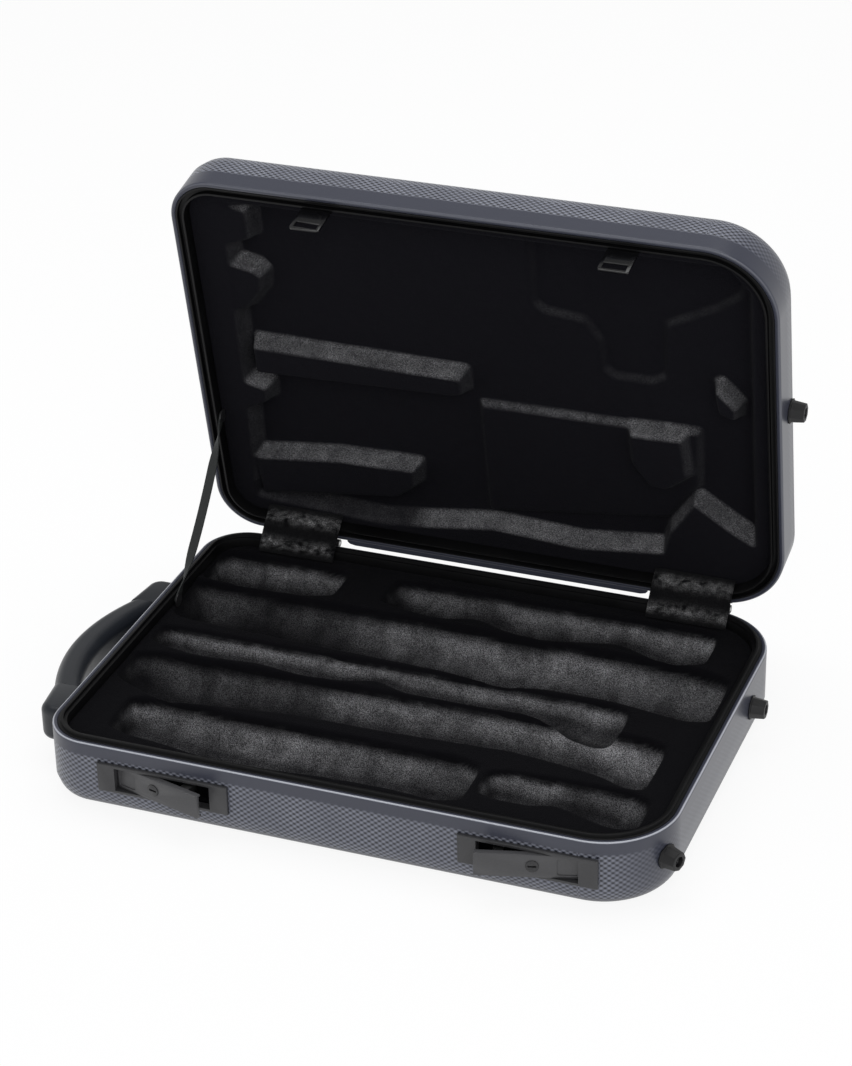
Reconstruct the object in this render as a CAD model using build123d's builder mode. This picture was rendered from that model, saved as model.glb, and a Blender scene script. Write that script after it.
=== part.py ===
from build123d import *
import os
from math import atan2, cos, degrees, hypot, radians, sin, tan

# Open hard case for a pair of clarinets, in millimetres and degrees.
# X runs along the case, Y from the latches to the hinges, Z up.
# The origin is the centre of the underside of the base.
# Lid pieces are drawn in the lid's own axes, which are those of the closed
# case with Z = 0 on the lid's rim, and stand open on the stay strap.

# Case
case_length = 390.0
case_width = 274.0
base_depth = 47.0
lid_depth = 40.0
shell_wall = 3.0
left_corner = 30.0
right_corner = 47.0
edge_round = 12.0
base_drawn = 13.0
lid_drawn = 14.0
base_band = base_depth - base_drawn
lid_band = lid_depth - lid_drawn
draft = 6.0
lip_round = 0.8
joint_gap = 0.3
lid_opening = 78.6

# Rims
rim_fit = 0.1
rim_width = 6.0
base_rim_height = 9.0
lid_rim_height = 10.0
tongue_inset = 5.0
tongue_width = 2.0
tongue_height = 2.2
groove_play = 0.5
groove_depth = 3.2

# Linings
lining_play = 0.3
pocket_play = 2.0
ridge_drop = 6.0
trough_floor = 8.0
lid_ledge = 8.0
lid_floor = 22.0
lid_pad_front = 9.0
bell_sink = 5.0
step_rise = 5.0
pad_slope = 10.0
pad_corner = 2.5

# Hinges
hinge_inset = 60.5
hinge_width = 50.0
hinge_offset = 3.0
leaf_thickness = 1.0
leaf_reach = 22.0
leaf_relief = 3.2
knuckle_radius = 2.6
knuckle_count = 5
knuckle_gap = 0.3
hinge_pin_radius = 1.2
running_play = 0.05
rivet_radius = 1.2
rivet_head_radius = 2.4
rivet_head_height = 0.9
rivet_taper = 35.0
rivet_reach = 14.0
rivet_pitch = 17.0

# Latches
left_latch_inset = 83.5
right_latch_inset = 77.0
latch_drop = 20.2
plate_length = 84.8
plate_height = 19.3
plate_proud = 2.5
plate_chamfer = 0.4
window_length = 62.0
window_height = 15.6
frame_depth = 3.4
frame_rail = 1.4
frame_end = 3.0
window_play = 0.2
stud_radius = 1.5
stud_inset = 3.5
pivot_inset = 16.0
pivot_depth = 1.0
latch_pin_radius = 0.9
pin_chamfer = 0.2
lever_swing = 15.0
lever_thickness = 2.2
lever_sink = 0.2
lever_play = 0.25
thumb_play = 0.6
lever_rib = 1.1
lever_rib_depth = 1.7
boss_radius = 2.3
scoop_length = 12.0
scoop_height = 11.0
scoop_depth = 0.8
scoop_round = 1.5
scoop_margin = 1.2
catch_reach = 32.0
catch_length = 12.0
catch_thickness = 1.2
nose_length = 6.0
nose_height = 4.6
nose_rise = 4.0
nose_overreach = 1.0
nose_chamfer = 0.7
striker_width = 19.5
striker_thickness = 1.2
striker_foot = 9.5
striker_round = 2.0
striker_bite = 4.0
striker_head_radius = 2.5
striker_head_height = 0.9
slot_length = 15.0
slot_play = 0.75
slot_rim = 2.0
spring_thickness = 0.4
spring_height = 8.0
spring_rise = 1.8
spring_foot = 2.0
spring_bend = 3.5

# Key locks
lock_reach = 12.0
lock_radius = 3.2
lock_lip_radius = 3.9
lock_lip = 0.4
keyway_width = 1.2
keyway_length = 5.1
keyway_depth = 1.4
cam_thickness = 1.0
cam_reach = 6.8
cam_width = 2.4
cam_stub_radius = 1.5
keeper_width = 2.4
keeper_thickness = 0.7
keeper_play = 0.3
keeper_lap = 1.2

# Handle
handle_drop = 20.0
handle_y = -13.0
handle_span = 110.0
handle_standoff = 36.0
handle_bow = 13.0
grip_thickness = 19.0
grip_height = 24.0
grip_round = 7.0
bracket_length = 30.0
bracket_end = 19.0
bracket_corner = 9.0
bracket_round = 5.0
handle_screw_rise = 6.0
handle_screw_bite = 8.0
screw_radius = 1.6
screw_head_radius = 3.0
screw_head_height = 1.8

# Feet
foot_height = 9.5
foot_flange = 1.2
foot_base_radius = 8.0
foot_tip_radius = 6.0
foot_recess_radius = 3.2
foot_recess = 4.0
foot_step = 1.0
foot_screw_length = 3.4
foot_screw_slot = 0.9
foot_screw_sink = 1.0
base_foot_drop = 20.0
rear_foot_y = 62.0
front_foot_turn = 22.0
lid_foot_y = -10.0
lid_foot_level = 21.0

# Stay strap
strap_width = 6.5
strap_thickness = 1.0
strap_gap = 0.1
strap_base_y = 45.0
strap_lid_y = 50.0
strap_level = 5.0
strap_pin_radius = 1.2
strap_pin_bite = 4.0
strap_head_radius = 4.5
strap_head_height = 1.0

# Hinge covers
cover_width = 53.0
cover_thickness = 1.2
cover_inset = 2.4
cover_lap = 6.0

os.makedirs("parts", exist_ok=True)

front = -case_width / 2
rear = case_width / 2
left = -case_length / 2
right = case_length / 2
rim_inner = shell_wall + rim_width
hinge_y = rear + hinge_offset
hinge_z = base_depth + joint_gap / 2
hinge_spacing = case_length - 2 * hinge_inset
base_rim_plane = Plane.XY.offset(base_depth)
opened = Location((0, hinge_y, hinge_z), (-lid_opening, 0, 0))
lid_rim_plane = Plane(opened * Location((0, -hinge_y, joint_gap / 2)))
sides = {"left": -1, "right": 1}


def in_lid(plane):
    """The same plane carried by the lid, which stands open."""
    return Plane(lid_rim_plane.location * plane.location)


def keep(builder, name):
    """Label a finished piece and write it out."""
    builder.part.label = name
    export_step(builder.part, "parts/" + name + ".step")


def case_outline(inset):
    """Plan shape of the case, drawn in from the outer wall."""
    Rectangle(case_length - 2 * inset, case_width - 2 * inset)
    fillet(vertices().filter_by(lambda v: v.X < 0), radius=left_corner - inset)
    fillet(vertices().filter_by(lambda v: v.X > 0), radius=right_corner - inset)


def case_block(rim_plane, way, inset, start, depth, band, edge):
    """Solid with the case's outline: a straight band, then drawn in."""
    with BuildPart() as block:
        with BuildSketch(rim_plane.offset(way * start)):
            case_outline(inset)
        extrude(amount=way * (band - start))
        with BuildSketch(rim_plane.offset(way * band)):
            case_outline(inset)
        extrude(amount=way * (depth - band), taper=draft)
        inward = Axis(rim_plane.origin, rim_plane.z_dir * way)
        fillet(block.faces().sort_by(inward)[-1].edges(), edge)
    return block.part


def ring(rim_plane, outer, inner, start, height):
    """Ring between two insets of the outline, added to the piece at hand."""
    with BuildSketch(rim_plane.offset(start)) as whole:
        case_outline(outer)
    extrude(whole.sketch, amount=height)
    with BuildSketch(rim_plane.offset(start)) as mouth:
        case_outline(inner)
    extrude(mouth.sketch, amount=height, mode=Mode.SUBTRACT)


def front_face(x, z, depth=0.0):
    """Plane on the base's front wall, seen from the front."""
    return Plane(origin=(x, front + depth, z), x_dir=(1, 0, 0), z_dir=(0, -1, 0))


def right_wall(y, z):
    """Plane on a right end wall."""
    return Plane(origin=(right, y, z), x_dir=(0, 1, 0), z_dir=(1, 0, 0))


def front_corner(turn, z):
    """Plane against the rounded front right corner, turned to the front."""
    across, along = sin(radians(turn)), cos(radians(turn))
    spot = (right - right_corner * (1 - along), front + right_corner * (1 - across), z)
    return Plane(origin=spot, x_dir=(across, along, 0), z_dir=(along, -across, 0))


def strap_face(y, z):
    """Plane on the inner face of a left rim."""
    return Plane(origin=(left + rim_inner, y, z), x_dir=(0, 1, 0), z_dir=(1, 0, 0))


# ---------------------------------------------------------------------------
# Places shared by several pieces

latch_z = base_depth - latch_drop
frame_length = window_length + frame_rail + frame_end
frame_height = window_height + 2 * (frame_rail + window_play / 2) - window_play
latch_spots = {"left": left + left_latch_inset, "right": right - right_latch_inset}
latch_pivot_y = front + pivot_depth
pivot_offset = window_length / 2 - pivot_inset
frame_offset = (frame_end - frame_rail) / 2
stud_x = plate_length / 2 - stud_inset
catch_spots = {name: x - sides[name] * (catch_reach - pivot_offset) for name, x in latch_spots.items()}
striker_inner = rim_inner + striker_thickness
nose_depth = striker_inner + nose_overreach - pivot_depth
rivet_spots = [(-rivet_pitch, rivet_reach), (0, rivet_reach), (rivet_pitch, rivet_reach)]
handle_height = base_depth - handle_drop
bracket_offset = (handle_span + bracket_length) / 2
handle_screw_levels = (handle_height - handle_screw_rise, handle_height + handle_screw_rise)
base_foot_level = base_depth - base_foot_drop
base_feet = {
    "front": front_corner(front_foot_turn, base_foot_level),
    "rear": right_wall(rear_foot_y, base_foot_level),
}
strap_x = left + rim_inner + strap_gap
lid_strap_point = lid_rim_plane.from_local_coords(Vector(0, strap_lid_y, strap_level))

# ---------------------------------------------------------------------------
# Base shell: outer block less its hollow, with holes for what it carries

base_outside = case_block(base_rim_plane, -1, 0, 0, base_depth, base_band, edge_round)
base_hollow = case_block(
    base_rim_plane, -1, shell_wall, 0, base_depth - shell_wall, base_band, edge_round - shell_wall
)

with BuildPart() as base_shell:
    add(base_outside)
    fillet(base_shell.faces().sort_by(Axis.Z)[-1].edges(), lip_round)
    add(base_hollow, mode=Mode.SUBTRACT)
    for name, side in sides.items():
        with BuildSketch(front_face(latch_spots[name] + side * frame_offset, latch_z)):
            Rectangle(frame_length + 2 * window_play, frame_height + 2 * window_play)
        extrude(amount=-(shell_wall + frame_depth), mode=Mode.SUBTRACT)
        with BuildSketch(front_face(latch_spots[name], latch_z)):
            with Locations((-stud_x, 0), (stud_x, 0)):
                Circle(stud_radius + running_play)
        extrude(amount=-shell_wall, mode=Mode.SUBTRACT)
        hinge_face = Plane(
            origin=(side * hinge_spacing / 2, rear, hinge_z), x_dir=(1, 0, 0), z_dir=(0, 1, 0)
        )
        with BuildSketch(hinge_face):
            with Locations(*rivet_spots):
                Circle(rivet_radius + running_play)
        extrude(amount=-shell_wall, mode=Mode.SUBTRACT)
    for foot_face in base_feet.values():
        with BuildSketch(foot_face):
            Circle(screw_radius + running_play)
        extrude(amount=-shell_wall, mode=Mode.SUBTRACT)
    for side in sides.values():
        for level in handle_screw_levels:
            spot = (left + shell_wall, handle_y + side * bracket_offset, level)
            with Locations(Plane(origin=spot, z_dir=(1, 0, 0))):
                CounterSinkHole(screw_radius + running_play, screw_head_radius, shell_wall)
keep(base_shell, "base_shell")

# Base rim: ring inside the mouth of the shell, with the tongue on top and a
# shallow notch in front of each striker
with BuildPart() as base_rim:
    rim_foot = base_rim_plane.offset(-base_rim_height)
    ring(rim_foot, shell_wall + rim_fit, rim_inner, 0, base_rim_height)
    ring(base_rim_plane, tongue_inset, tongue_inset + tongue_width, 0, tongue_height)
    for catch_x in catch_spots.values():
        with BuildSketch(rim_foot):
            with Locations((catch_x, front + rim_inner)):
                Rectangle(striker_width + 2 * slot_play, 2 * slot_play)
        extrude(amount=base_rim_height, mode=Mode.SUBTRACT)
    with BuildSketch(strap_face(strap_base_y, base_depth - strap_level)):
        Circle(strap_pin_radius + running_play)
    extrude(amount=-strap_pin_bite, mode=Mode.SUBTRACT)
keep(base_rim, "base_rim")

# ---------------------------------------------------------------------------
# Base lining: moulded tray with a trough for each part of the instruments

# Each trough: its joints from left to right as (x, y, half width)
upper_joint_troughs = {
    "barrel": [(-188, 99, 13), (-182, 99, 17), (-150, 98, 18), (-110, 99, 18), (-95, 100, 13)],
    "upper_joint": [
        (-58, 102, 11), (-46, 101, 15), (-17, 99, 17), (7, 103, 13), (30, 98, 18),
        (56, 97, 19), (103, 102, 13), (128, 97, 19), (148, 97, 20), (157, 98, 15),
    ],
    "lower_joint": [
        (-185, 55, 17), (-176, 53, 23), (-120, 50, 23), (-60, 49, 24), (5, 48, 25),
        (50, 45, 27), (75, 48, 25), (120, 48, 25), (150, 45, 27), (170, 42, 27), (178, 42, 22),
    ],
    "narrow_slot": [
        (-180, 6, 7), (-170, 4, 10), (-144, 2, 12), (-106, 4, 10), (-78, 2, 12), (-50, 3, 12),
        (-26, 7, 8), (-8, 3, 12), (36, 3, 12), (75, 3, 11), (100, 0, 14), (122, -1, 16), (131, -2, 11),
    ],
}
lower_joint_troughs = {
    "second_lower_joint": [
        (-182, -36, 12), (-172, -36, 18), (-146, -41, 24), (-106, -38, 22), (-60, -35, 19),
        (0, -35, 19), (79, -32, 18), (113, -34, 20), (140, -37, 22), (158, -42, 26), (163, -42, 21),
    ],
    "second_upper_joint": [
        (-161, -88, 14), (-152, -88, 19), (-124, -89, 21), (-94, -93, 22.5), (-54, -93, 22.5),
        (-16, -91, 21), (21, -91, 20), (56, -92, 22), (65, -92, 16),
    ],
    "mouthpiece": [
        (74, -88, 9), (82, -88, 13), (107, -88, 14), (121, -84, 11), (142, -88, 15),
        (162, -91, 18), (171, -91, 12),
    ],
}
ridge_top = base_depth - ridge_drop
trough_crown = 5.0


def cut_trough(stations):
    """Round-bottomed trough through U-shaped sections along the case."""
    sections = []
    for x, y, half in stations:
        level = max(ridge_top - trough_crown, trough_floor + half)
        with BuildSketch(Plane(origin=(x, y, 0), x_dir=(0, 1, 0), z_dir=(1, 0, 0))) as section:
            with BuildLine():
                Polyline((-half, level), (-half, base_depth), (half, base_depth), (half, level))
                ThreePointArc((half, level), (0, level - half), (-half, level))
            make_face()
        sections.append(section.sketch)
    loft(sections, ruled=True, mode=Mode.SUBTRACT)


base_lining_low = case_block(
    base_rim_plane, -1, shell_wall + lining_play, base_rim_height + lining_play,
    base_depth - shell_wall, base_band, edge_round - shell_wall,
)
pocket_depth = pivot_depth + nose_depth + pocket_play
striker_way = striker_thickness + striker_head_height + pocket_play
strap_pocket = 2 * (strap_head_radius + pocket_play / 2)
strap_pocket_depth = strap_thickness + strap_head_height + pocket_play

with BuildPart() as base_lining:
    add(base_lining_low)
    with BuildSketch(base_rim_plane.offset(-base_rim_height - lining_play)):
        case_outline(rim_inner + lining_play)
    extrude(amount=base_rim_height + lining_play - ridge_drop)
    for stations in list(upper_joint_troughs.values()) + list(lower_joint_troughs.values()):
        cut_trough(stations)
    for name, side in sides.items():
        pocket_x = latch_spots[name] + side * frame_offset
        with BuildSketch(front_face(pocket_x, latch_z, pocket_depth)):
            Rectangle(frame_length + 2 * pocket_play, frame_height + 2 * pocket_play)
        extrude(amount=pocket_depth, mode=Mode.SUBTRACT)
        with BuildSketch(Plane.XY.offset(latch_z)):
            with Locations((catch_spots[name], front + rim_inner + striker_way / 2)):
                Rectangle(striker_width + 2 * pocket_play, striker_way)
        extrude(amount=latch_drop, mode=Mode.SUBTRACT)
    with BuildSketch(Plane.YZ.offset(left + rim_inner)):
        with Locations((strap_base_y, base_depth - strap_level)):
            Rectangle(strap_pocket, strap_pocket)
    extrude(amount=strap_pocket_depth, mode=Mode.SUBTRACT)
keep(base_lining, "base_lining")

# ---------------------------------------------------------------------------
# Latches


pivot_spots = {side: latch_spots[name] + side * pivot_offset for name, side in sides.items()}


def in_lever(side, plane):
    """A plane in the closed lever's axes, carried by the lever swung out."""
    pivot = (pivot_spots[side], latch_pivot_y, latch_z)
    return Plane(Location(pivot, (0, 0, side * lever_swing)) * plane.location)


def lever_front(side, x, z, depth):
    """Sketch plane facing out of the lever, at a depth behind its pivot."""
    return in_lever(
        side, Plane(origin=(x, depth, z), x_dir=(1, 0, 0), z_dir=(0, -1, 0))
    )


lever_height = window_height - 2 * lever_play
lever_free = window_length - pivot_inset - lever_play
lever_thumb = pivot_inset - thumb_play
lever_front_y = -(plate_proud - lever_sink + pivot_depth)
lever_back_y = lever_front_y + lever_thickness
frame_back_y = frame_depth - pivot_depth
cam_front_y = frame_back_y + keeper_play
cam_spot_y = cam_front_y + cam_thickness

for name, side in sides.items():
    toward = -side
    plate_x = latch_spots[name]
    pivot_x = pivot_spots[side]

    # Housing: flange on the wall, frame through it, window, studs and the
    # keeper that the lock's cam turns behind
    with BuildPart() as latch_plate:
        with BuildSketch(front_face(plate_x, latch_z)):
            Rectangle(plate_length, plate_height)
        extrude(amount=plate_proud)
        chamfer(latch_plate.faces().sort_by(Axis.Y)[0].edges(), plate_chamfer)
        with BuildSketch(front_face(plate_x + side * frame_offset, latch_z)):
            Rectangle(frame_length, frame_height)
        extrude(amount=-frame_depth)
        with BuildSketch(front_face(plate_x, latch_z, frame_depth)):
            Rectangle(window_length, window_height)
        extrude(amount=frame_depth + plate_proud, mode=Mode.SUBTRACT)
        with BuildSketch(front_face(plate_x, latch_z)):
            with Locations((-stud_x, 0), (stud_x, 0)):
                Circle(stud_radius)
        extrude(amount=-shell_wall)
        keeper_height = window_height / 2 - cam_reach + keeper_lap
        with BuildSketch(front_face(pivot_x + toward * lock_reach, latch_z, frame_depth)):
            with Locations((0, (window_height - keeper_height) / 2)):
                Rectangle(keeper_width, keeper_height)
        extrude(amount=keeper_thickness)
        with BuildSketch(Plane.XY.offset(latch_z - frame_height / 2)):
            with Locations((pivot_x, latch_pivot_y)):
                Circle(latch_pin_radius + running_play)
        extrude(amount=frame_height, mode=Mode.SUBTRACT)
    keep(latch_plate, "latch_plate_" + name)

    with BuildPart() as latch_pin:
        with BuildSketch(Plane.XY.offset(latch_z - frame_height / 2)):
            with Locations((pivot_x, latch_pivot_y)):
                Circle(latch_pin_radius)
        extrude(amount=frame_height)
        chamfer(latch_pin.edges().filter_by(GeomType.CIRCLE), pin_chamfer)
    keep(latch_pin, "latch_pin_" + name)

    # Leaf spring from the end of the frame to the lever's boss
    with BuildPart() as latch_spring:
        end_x = plate_x + side * (window_length / 2 + frame_end)
        seat_y = front + frame_depth + spring_thickness / 2
        boss_back = latch_pivot_y + boss_radius + keeper_play + spring_thickness / 2
        spring_end = end_x - side * (spring_foot + spring_bend)
        with BuildSketch(Plane.XY.offset(latch_z - spring_height / 2)):
            with BuildLine():
                Polyline(
                    (end_x, seat_y),
                    (end_x - side * spring_foot, seat_y),
                    (spring_end, seat_y + spring_rise),
                    (pivot_x + side * (spring_bend + boss_radius), seat_y + spring_rise),
                    (pivot_x, boss_back + spring_thickness / 4),
                    (pivot_x - side * boss_radius, boss_back + spring_thickness / 2),
                )
            trace(line_width=spring_thickness)
        extrude(amount=spring_height)
    keep(latch_spring, "latch_spring_" + name)

    # Lever: plate with a boss for the pin, two ribs and a thumb scoop
    lever_mid = toward * (lever_free - lever_thumb) / 2
    with BuildPart() as latch_lever:
        with BuildSketch(lever_front(side, lever_mid, 0, lever_back_y)):
            Rectangle(lever_free + lever_thumb, lever_height)
        extrude(amount=lever_thickness)
        with BuildSketch(in_lever(side, Plane.XY.offset(-lever_height / 2))):
            Circle(boss_radius)
        extrude(amount=lever_height)
        rib_start = 2 * boss_radius
        rib_mid = toward * (rib_start + lever_free - lever_play) / 2
        with BuildSketch(lever_front(side, rib_mid, 0, lever_back_y)):
            for edge in (-1, 1):
                with Locations((0, edge * (lever_height - lever_rib) / 2)):
                    Rectangle(lever_free - lever_play - rib_start, lever_rib)
        extrude(amount=-lever_rib_depth)
        scoop_mid = -toward * (lever_thumb - scoop_length / 2 - scoop_margin)
        with BuildSketch(lever_front(side, scoop_mid, 0, lever_front_y)):
            RectangleRounded(scoop_length, scoop_height, scoop_round)
        extrude(amount=-scoop_depth, mode=Mode.SUBTRACT)
        with BuildSketch(lever_front(side, toward * lock_reach, 0, lever_front_y)):
            Circle(lock_radius + running_play)
        extrude(amount=-lever_thickness, mode=Mode.SUBTRACT)
        with BuildSketch(in_lever(side, Plane.XY.offset(-lever_height / 2))):
            Circle(latch_pin_radius + running_play)
        extrude(amount=lever_height, mode=Mode.SUBTRACT)
    keep(latch_lever, "latch_lever_" + name)

    # Catch: steel foot on the lever's back with the nose for the striker
    with BuildPart() as latch_catch:
        catch_foot_height = lever_height - 2 * (lever_rib + rim_fit)
        with BuildSketch(lever_front(side, toward * catch_reach, 0, lever_back_y)):
            Rectangle(catch_length, catch_foot_height)
        extrude(amount=-catch_thickness)
        with BuildSketch(lever_front(side, toward * catch_reach, nose_rise, lever_back_y)):
            Rectangle(nose_length, nose_height)
        extrude(amount=-(nose_depth - lever_back_y))
        nose_tip = latch_catch.faces().sort_by(
            Axis(in_lever(side, Plane.XY).origin, in_lever(side, Plane.XY).y_dir)
        )[-1]
        chamfer(nose_tip.edges(), nose_chamfer)
    keep(latch_catch, "latch_catch_" + name)

    # Lock: cylinder with a keyway in the lever, and the cam on its back
    with BuildPart() as lock_cylinder:
        with BuildSketch(lever_front(side, toward * lock_reach, 0, lever_front_y)):
            Circle(lock_lip_radius)
        extrude(amount=lock_lip)
        with BuildSketch(lever_front(side, toward * lock_reach, 0, lever_front_y)):
            Circle(lock_radius)
        extrude(amount=-(cam_front_y - lever_front_y))
        with BuildSketch(lever_front(side, toward * lock_reach, 0, cam_front_y)):
            Circle(cam_stub_radius)
        extrude(amount=-cam_thickness)
        with BuildSketch(lever_front(side, toward * lock_reach, 0, lever_front_y - lock_lip)):
            Rectangle(keyway_length, keyway_width)
        extrude(amount=-keyway_depth, mode=Mode.SUBTRACT)
    keep(lock_cylinder, "lock_cylinder_" + name)

    with BuildPart() as lock_cam:
        with BuildSketch(lever_front(side, toward * lock_reach, 0, cam_front_y)):
            Circle(cam_stub_radius + cam_width / 2)
            with Locations((toward * cam_reach / 2, 0)):
                Rectangle(cam_reach, cam_width)
            Circle(cam_stub_radius, mode=Mode.SUBTRACT)
        extrude(amount=-cam_thickness)
    keep(lock_cam, "lock_cam_" + name)

# ---------------------------------------------------------------------------
# Hinges

knuckle_width = (hinge_width - (knuckle_count - 1) * knuckle_gap) / knuckle_count
knuckle_pitch = knuckle_width + knuckle_gap
web_height = 0.85 * knuckle_radius


def hinge_leaf(place, centre, way, first):
    """Leaf on a rear wall with every second knuckle, on the given side."""
    axis_spot = place(Plane(origin=(centre, hinge_y, 0), x_dir=(0, 1, 0), z_dir=(1, 0, 0)))
    wall = place(Plane(origin=(centre, rear, 0), x_dir=(1, 0, 0), z_dir=(0, 1, 0)))
    with BuildPart() as leaf:
        with BuildSketch(wall):
            with Locations((0, -way * (leaf_reach + leaf_relief) / 2)):
                Rectangle(hinge_width, leaf_reach - leaf_relief)
        extrude(amount=leaf_thickness)
        for number in range(first, knuckle_count, 2):
            offset_x = (number - (knuckle_count - 1) / 2) * knuckle_pitch
            with BuildSketch(wall):
                with Locations((offset_x, -way * leaf_relief / 2)):
                    Rectangle(knuckle_width, leaf_relief)
            extrude(amount=leaf_thickness)
            with BuildSketch(wall):
                with Locations((offset_x, -way * web_height / 2)):
                    Rectangle(knuckle_width, web_height)
            extrude(amount=hinge_offset)
            with BuildSketch(axis_spot.offset(offset_x - knuckle_width / 2)):
                Circle(knuckle_radius)
            extrude(amount=knuckle_width)
        with BuildSketch(axis_spot.offset(-hinge_width / 2)):
            Circle(hinge_pin_radius + running_play)
        extrude(amount=hinge_width, mode=Mode.SUBTRACT)
        with BuildSketch(wall):
            with Locations(*[(x, -way * reach) for x, reach in rivet_spots]):
                Circle(rivet_radius + running_play)
        extrude(amount=leaf_thickness, mode=Mode.SUBTRACT)
    return leaf


def at_base_joint(plane):
    """A plane measured from the hinge axis, on the base."""
    return Plane(Location((0, 0, hinge_z)) * plane.location)


def at_lid_joint(plane):
    """A plane measured from the hinge axis, on the open lid."""
    return in_lid(Plane(Location((0, 0, -joint_gap / 2)) * plane.location))


def rivets(place, way):
    """Domed rivets of both leaves, flush inside the wall."""
    with BuildPart() as group:
        for side in sides.values():
            wall = place(
                Plane(
                    origin=(side * hinge_spacing / 2, rear + leaf_thickness, 0),
                    x_dir=(1, 0, 0),
                    z_dir=(0, 1, 0),
                )
            )
            spots = [(x, -way * reach) for x, reach in rivet_spots]
            with BuildSketch(wall):
                with Locations(*spots):
                    Circle(rivet_radius)
            extrude(amount=-(leaf_thickness + shell_wall))
            with BuildSketch(wall):
                with Locations(*spots):
                    Circle(rivet_head_radius)
            extrude(amount=rivet_head_height, taper=rivet_taper)
    return group


for name, side in sides.items():
    hinge_x = side * hinge_spacing / 2
    keep(hinge_leaf(at_base_joint, hinge_x, -1, 0), "hinge_leaf_base_" + name)
    keep(hinge_leaf(at_lid_joint, hinge_x, 1, 1), "hinge_leaf_lid_" + name)
    with BuildPart() as hinge_pin:
        pin_end = (hinge_x - hinge_width / 2, hinge_y, hinge_z)
        with BuildSketch(Plane(origin=pin_end, z_dir=(1, 0, 0))):
            Circle(hinge_pin_radius)
        extrude(amount=hinge_width)
    keep(hinge_pin, "hinge_pin_" + name)

keep(rivets(at_base_joint, -1), "base_hinge_rivets")
keep(rivets(at_lid_joint, 1), "lid_hinge_rivets")

# ---------------------------------------------------------------------------
# Handle on the left wall: bowed grip between two end pieces


def grip_face(offset):
    """How far the grip's outer face stands from the wall, off its middle."""
    return handle_standoff - handle_bow * (2 * offset / handle_span) ** 2


grip_stations = [-1.0, -0.6, 0.0, 0.6, 1.0]

with BuildPart() as handle_grip:
    for share in grip_stations:
        offset = share * handle_span / 2
        middle = left - grip_face(offset) + grip_thickness / 2
        spot = (middle, handle_y + offset, handle_height)
        with BuildSketch(Plane(origin=spot, x_dir=(1, 0, 0), z_dir=(0, 1, 0))):
            RectangleRounded(grip_thickness, grip_height, grip_round)
    loft()
keep(handle_grip, "handle_grip")

for name, side in {"front": -1, "rear": 1}.items():
    with BuildPart() as handle_bracket:
        seam = handle_y + side * handle_span / 2
        end = seam + side * bracket_length
        with BuildSketch(Plane.XY.offset(handle_height - grip_height / 2)):
            with BuildLine():
                Polyline((left, end), (left, seam), (left - grip_face(handle_span / 2), seam))
                Line((left - grip_face(handle_span / 2), seam), (left - bracket_end, end))
                Line((left - bracket_end, end), (left, end))
            make_face()
            outer_corner = vertices().sort_by_distance((left - bracket_end, end))[0]
            fillet(outer_corner, bracket_corner)
        extrude(amount=grip_height)
        outside = handle_bracket.edges().filter_by(GeomType.CIRCLE)
        fillet(outside, bracket_round)
        bracket_mid = (left, handle_y + side * bracket_offset, handle_height)
        with BuildSketch(Plane(origin=bracket_mid, x_dir=(0, 1, 0), z_dir=(1, 0, 0))):
            with Locations((0, -handle_screw_rise), (0, handle_screw_rise)):
                Circle(screw_radius + running_play)
        extrude(amount=-handle_screw_bite, mode=Mode.SUBTRACT)
    keep(handle_bracket, "handle_bracket_" + name)

with BuildPart() as handle_screws:
    for side in sides.values():
        for level in handle_screw_levels:
            spot = (left + shell_wall, handle_y + side * bracket_offset, level)
            head_spot = Plane(origin=spot, z_dir=(-1, 0, 0))
            with BuildSketch(head_spot):
                Circle(screw_head_radius - running_play)
            with BuildSketch(head_spot.offset(screw_head_radius - screw_radius)):
                Circle(screw_radius)
            loft()
            with BuildSketch(head_spot):
                Circle(screw_radius)
            extrude(amount=shell_wall + handle_screw_bite)
keep(handle_screws, "handle_screws")

# ---------------------------------------------------------------------------
# Feet on the right wall, two on the base and one on the lid


def foot(plane):
    """Eight-sided tapered foot with a recess for its screw."""
    with BuildPart() as piece:
        with BuildSketch(plane):
            RegularPolygon(foot_base_radius, 8)
        extrude(amount=foot_flange)
        with BuildSketch(plane.offset(foot_flange)):
            RegularPolygon(foot_base_radius - foot_step, 8)
        with BuildSketch(plane.offset(foot_height)):
            RegularPolygon(foot_tip_radius, 8)
        loft()
        with BuildSketch(plane.offset(foot_height - foot_recess)):
            Circle(foot_recess_radius)
        extrude(amount=foot_recess, mode=Mode.SUBTRACT)
        with BuildSketch(plane):
            Circle(screw_radius + running_play)
        extrude(amount=foot_height, mode=Mode.SUBTRACT)
    return piece


def foot_screw(plane):
    """Pan-headed screw in the foot's recess, flush inside the wall."""
    with BuildSketch(plane.offset(-shell_wall)) as shank:
        Circle(screw_radius)
    extrude(shank.sketch, amount=shell_wall + foot_height - foot_recess)
    with BuildSketch(plane.offset(foot_height - foot_recess)) as head:
        Circle(foot_recess_radius - keeper_play)
    extrude(head.sketch, amount=screw_head_height)
    with BuildSketch(plane.offset(foot_height - foot_recess + screw_head_height)) as cross:
        Rectangle(foot_screw_length, foot_screw_slot)
        Rectangle(foot_screw_slot, foot_screw_length)
    extrude(cross.sketch, amount=-foot_screw_sink, mode=Mode.SUBTRACT)


lid_foot_face = in_lid(right_wall(lid_foot_y, lid_foot_level))
for name, foot_face in base_feet.items():
    keep(foot(foot_face), "base_foot_" + name)
keep(foot(lid_foot_face), "lid_foot")

with BuildPart() as base_foot_screws:
    for foot_face in base_feet.values():
        foot_screw(foot_face)
keep(base_foot_screws, "base_foot_screws")

with BuildPart() as lid_foot_screw:
    foot_screw(lid_foot_face)
keep(lid_foot_screw, "lid_foot_screw")

# ---------------------------------------------------------------------------
# Lid shell

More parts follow.
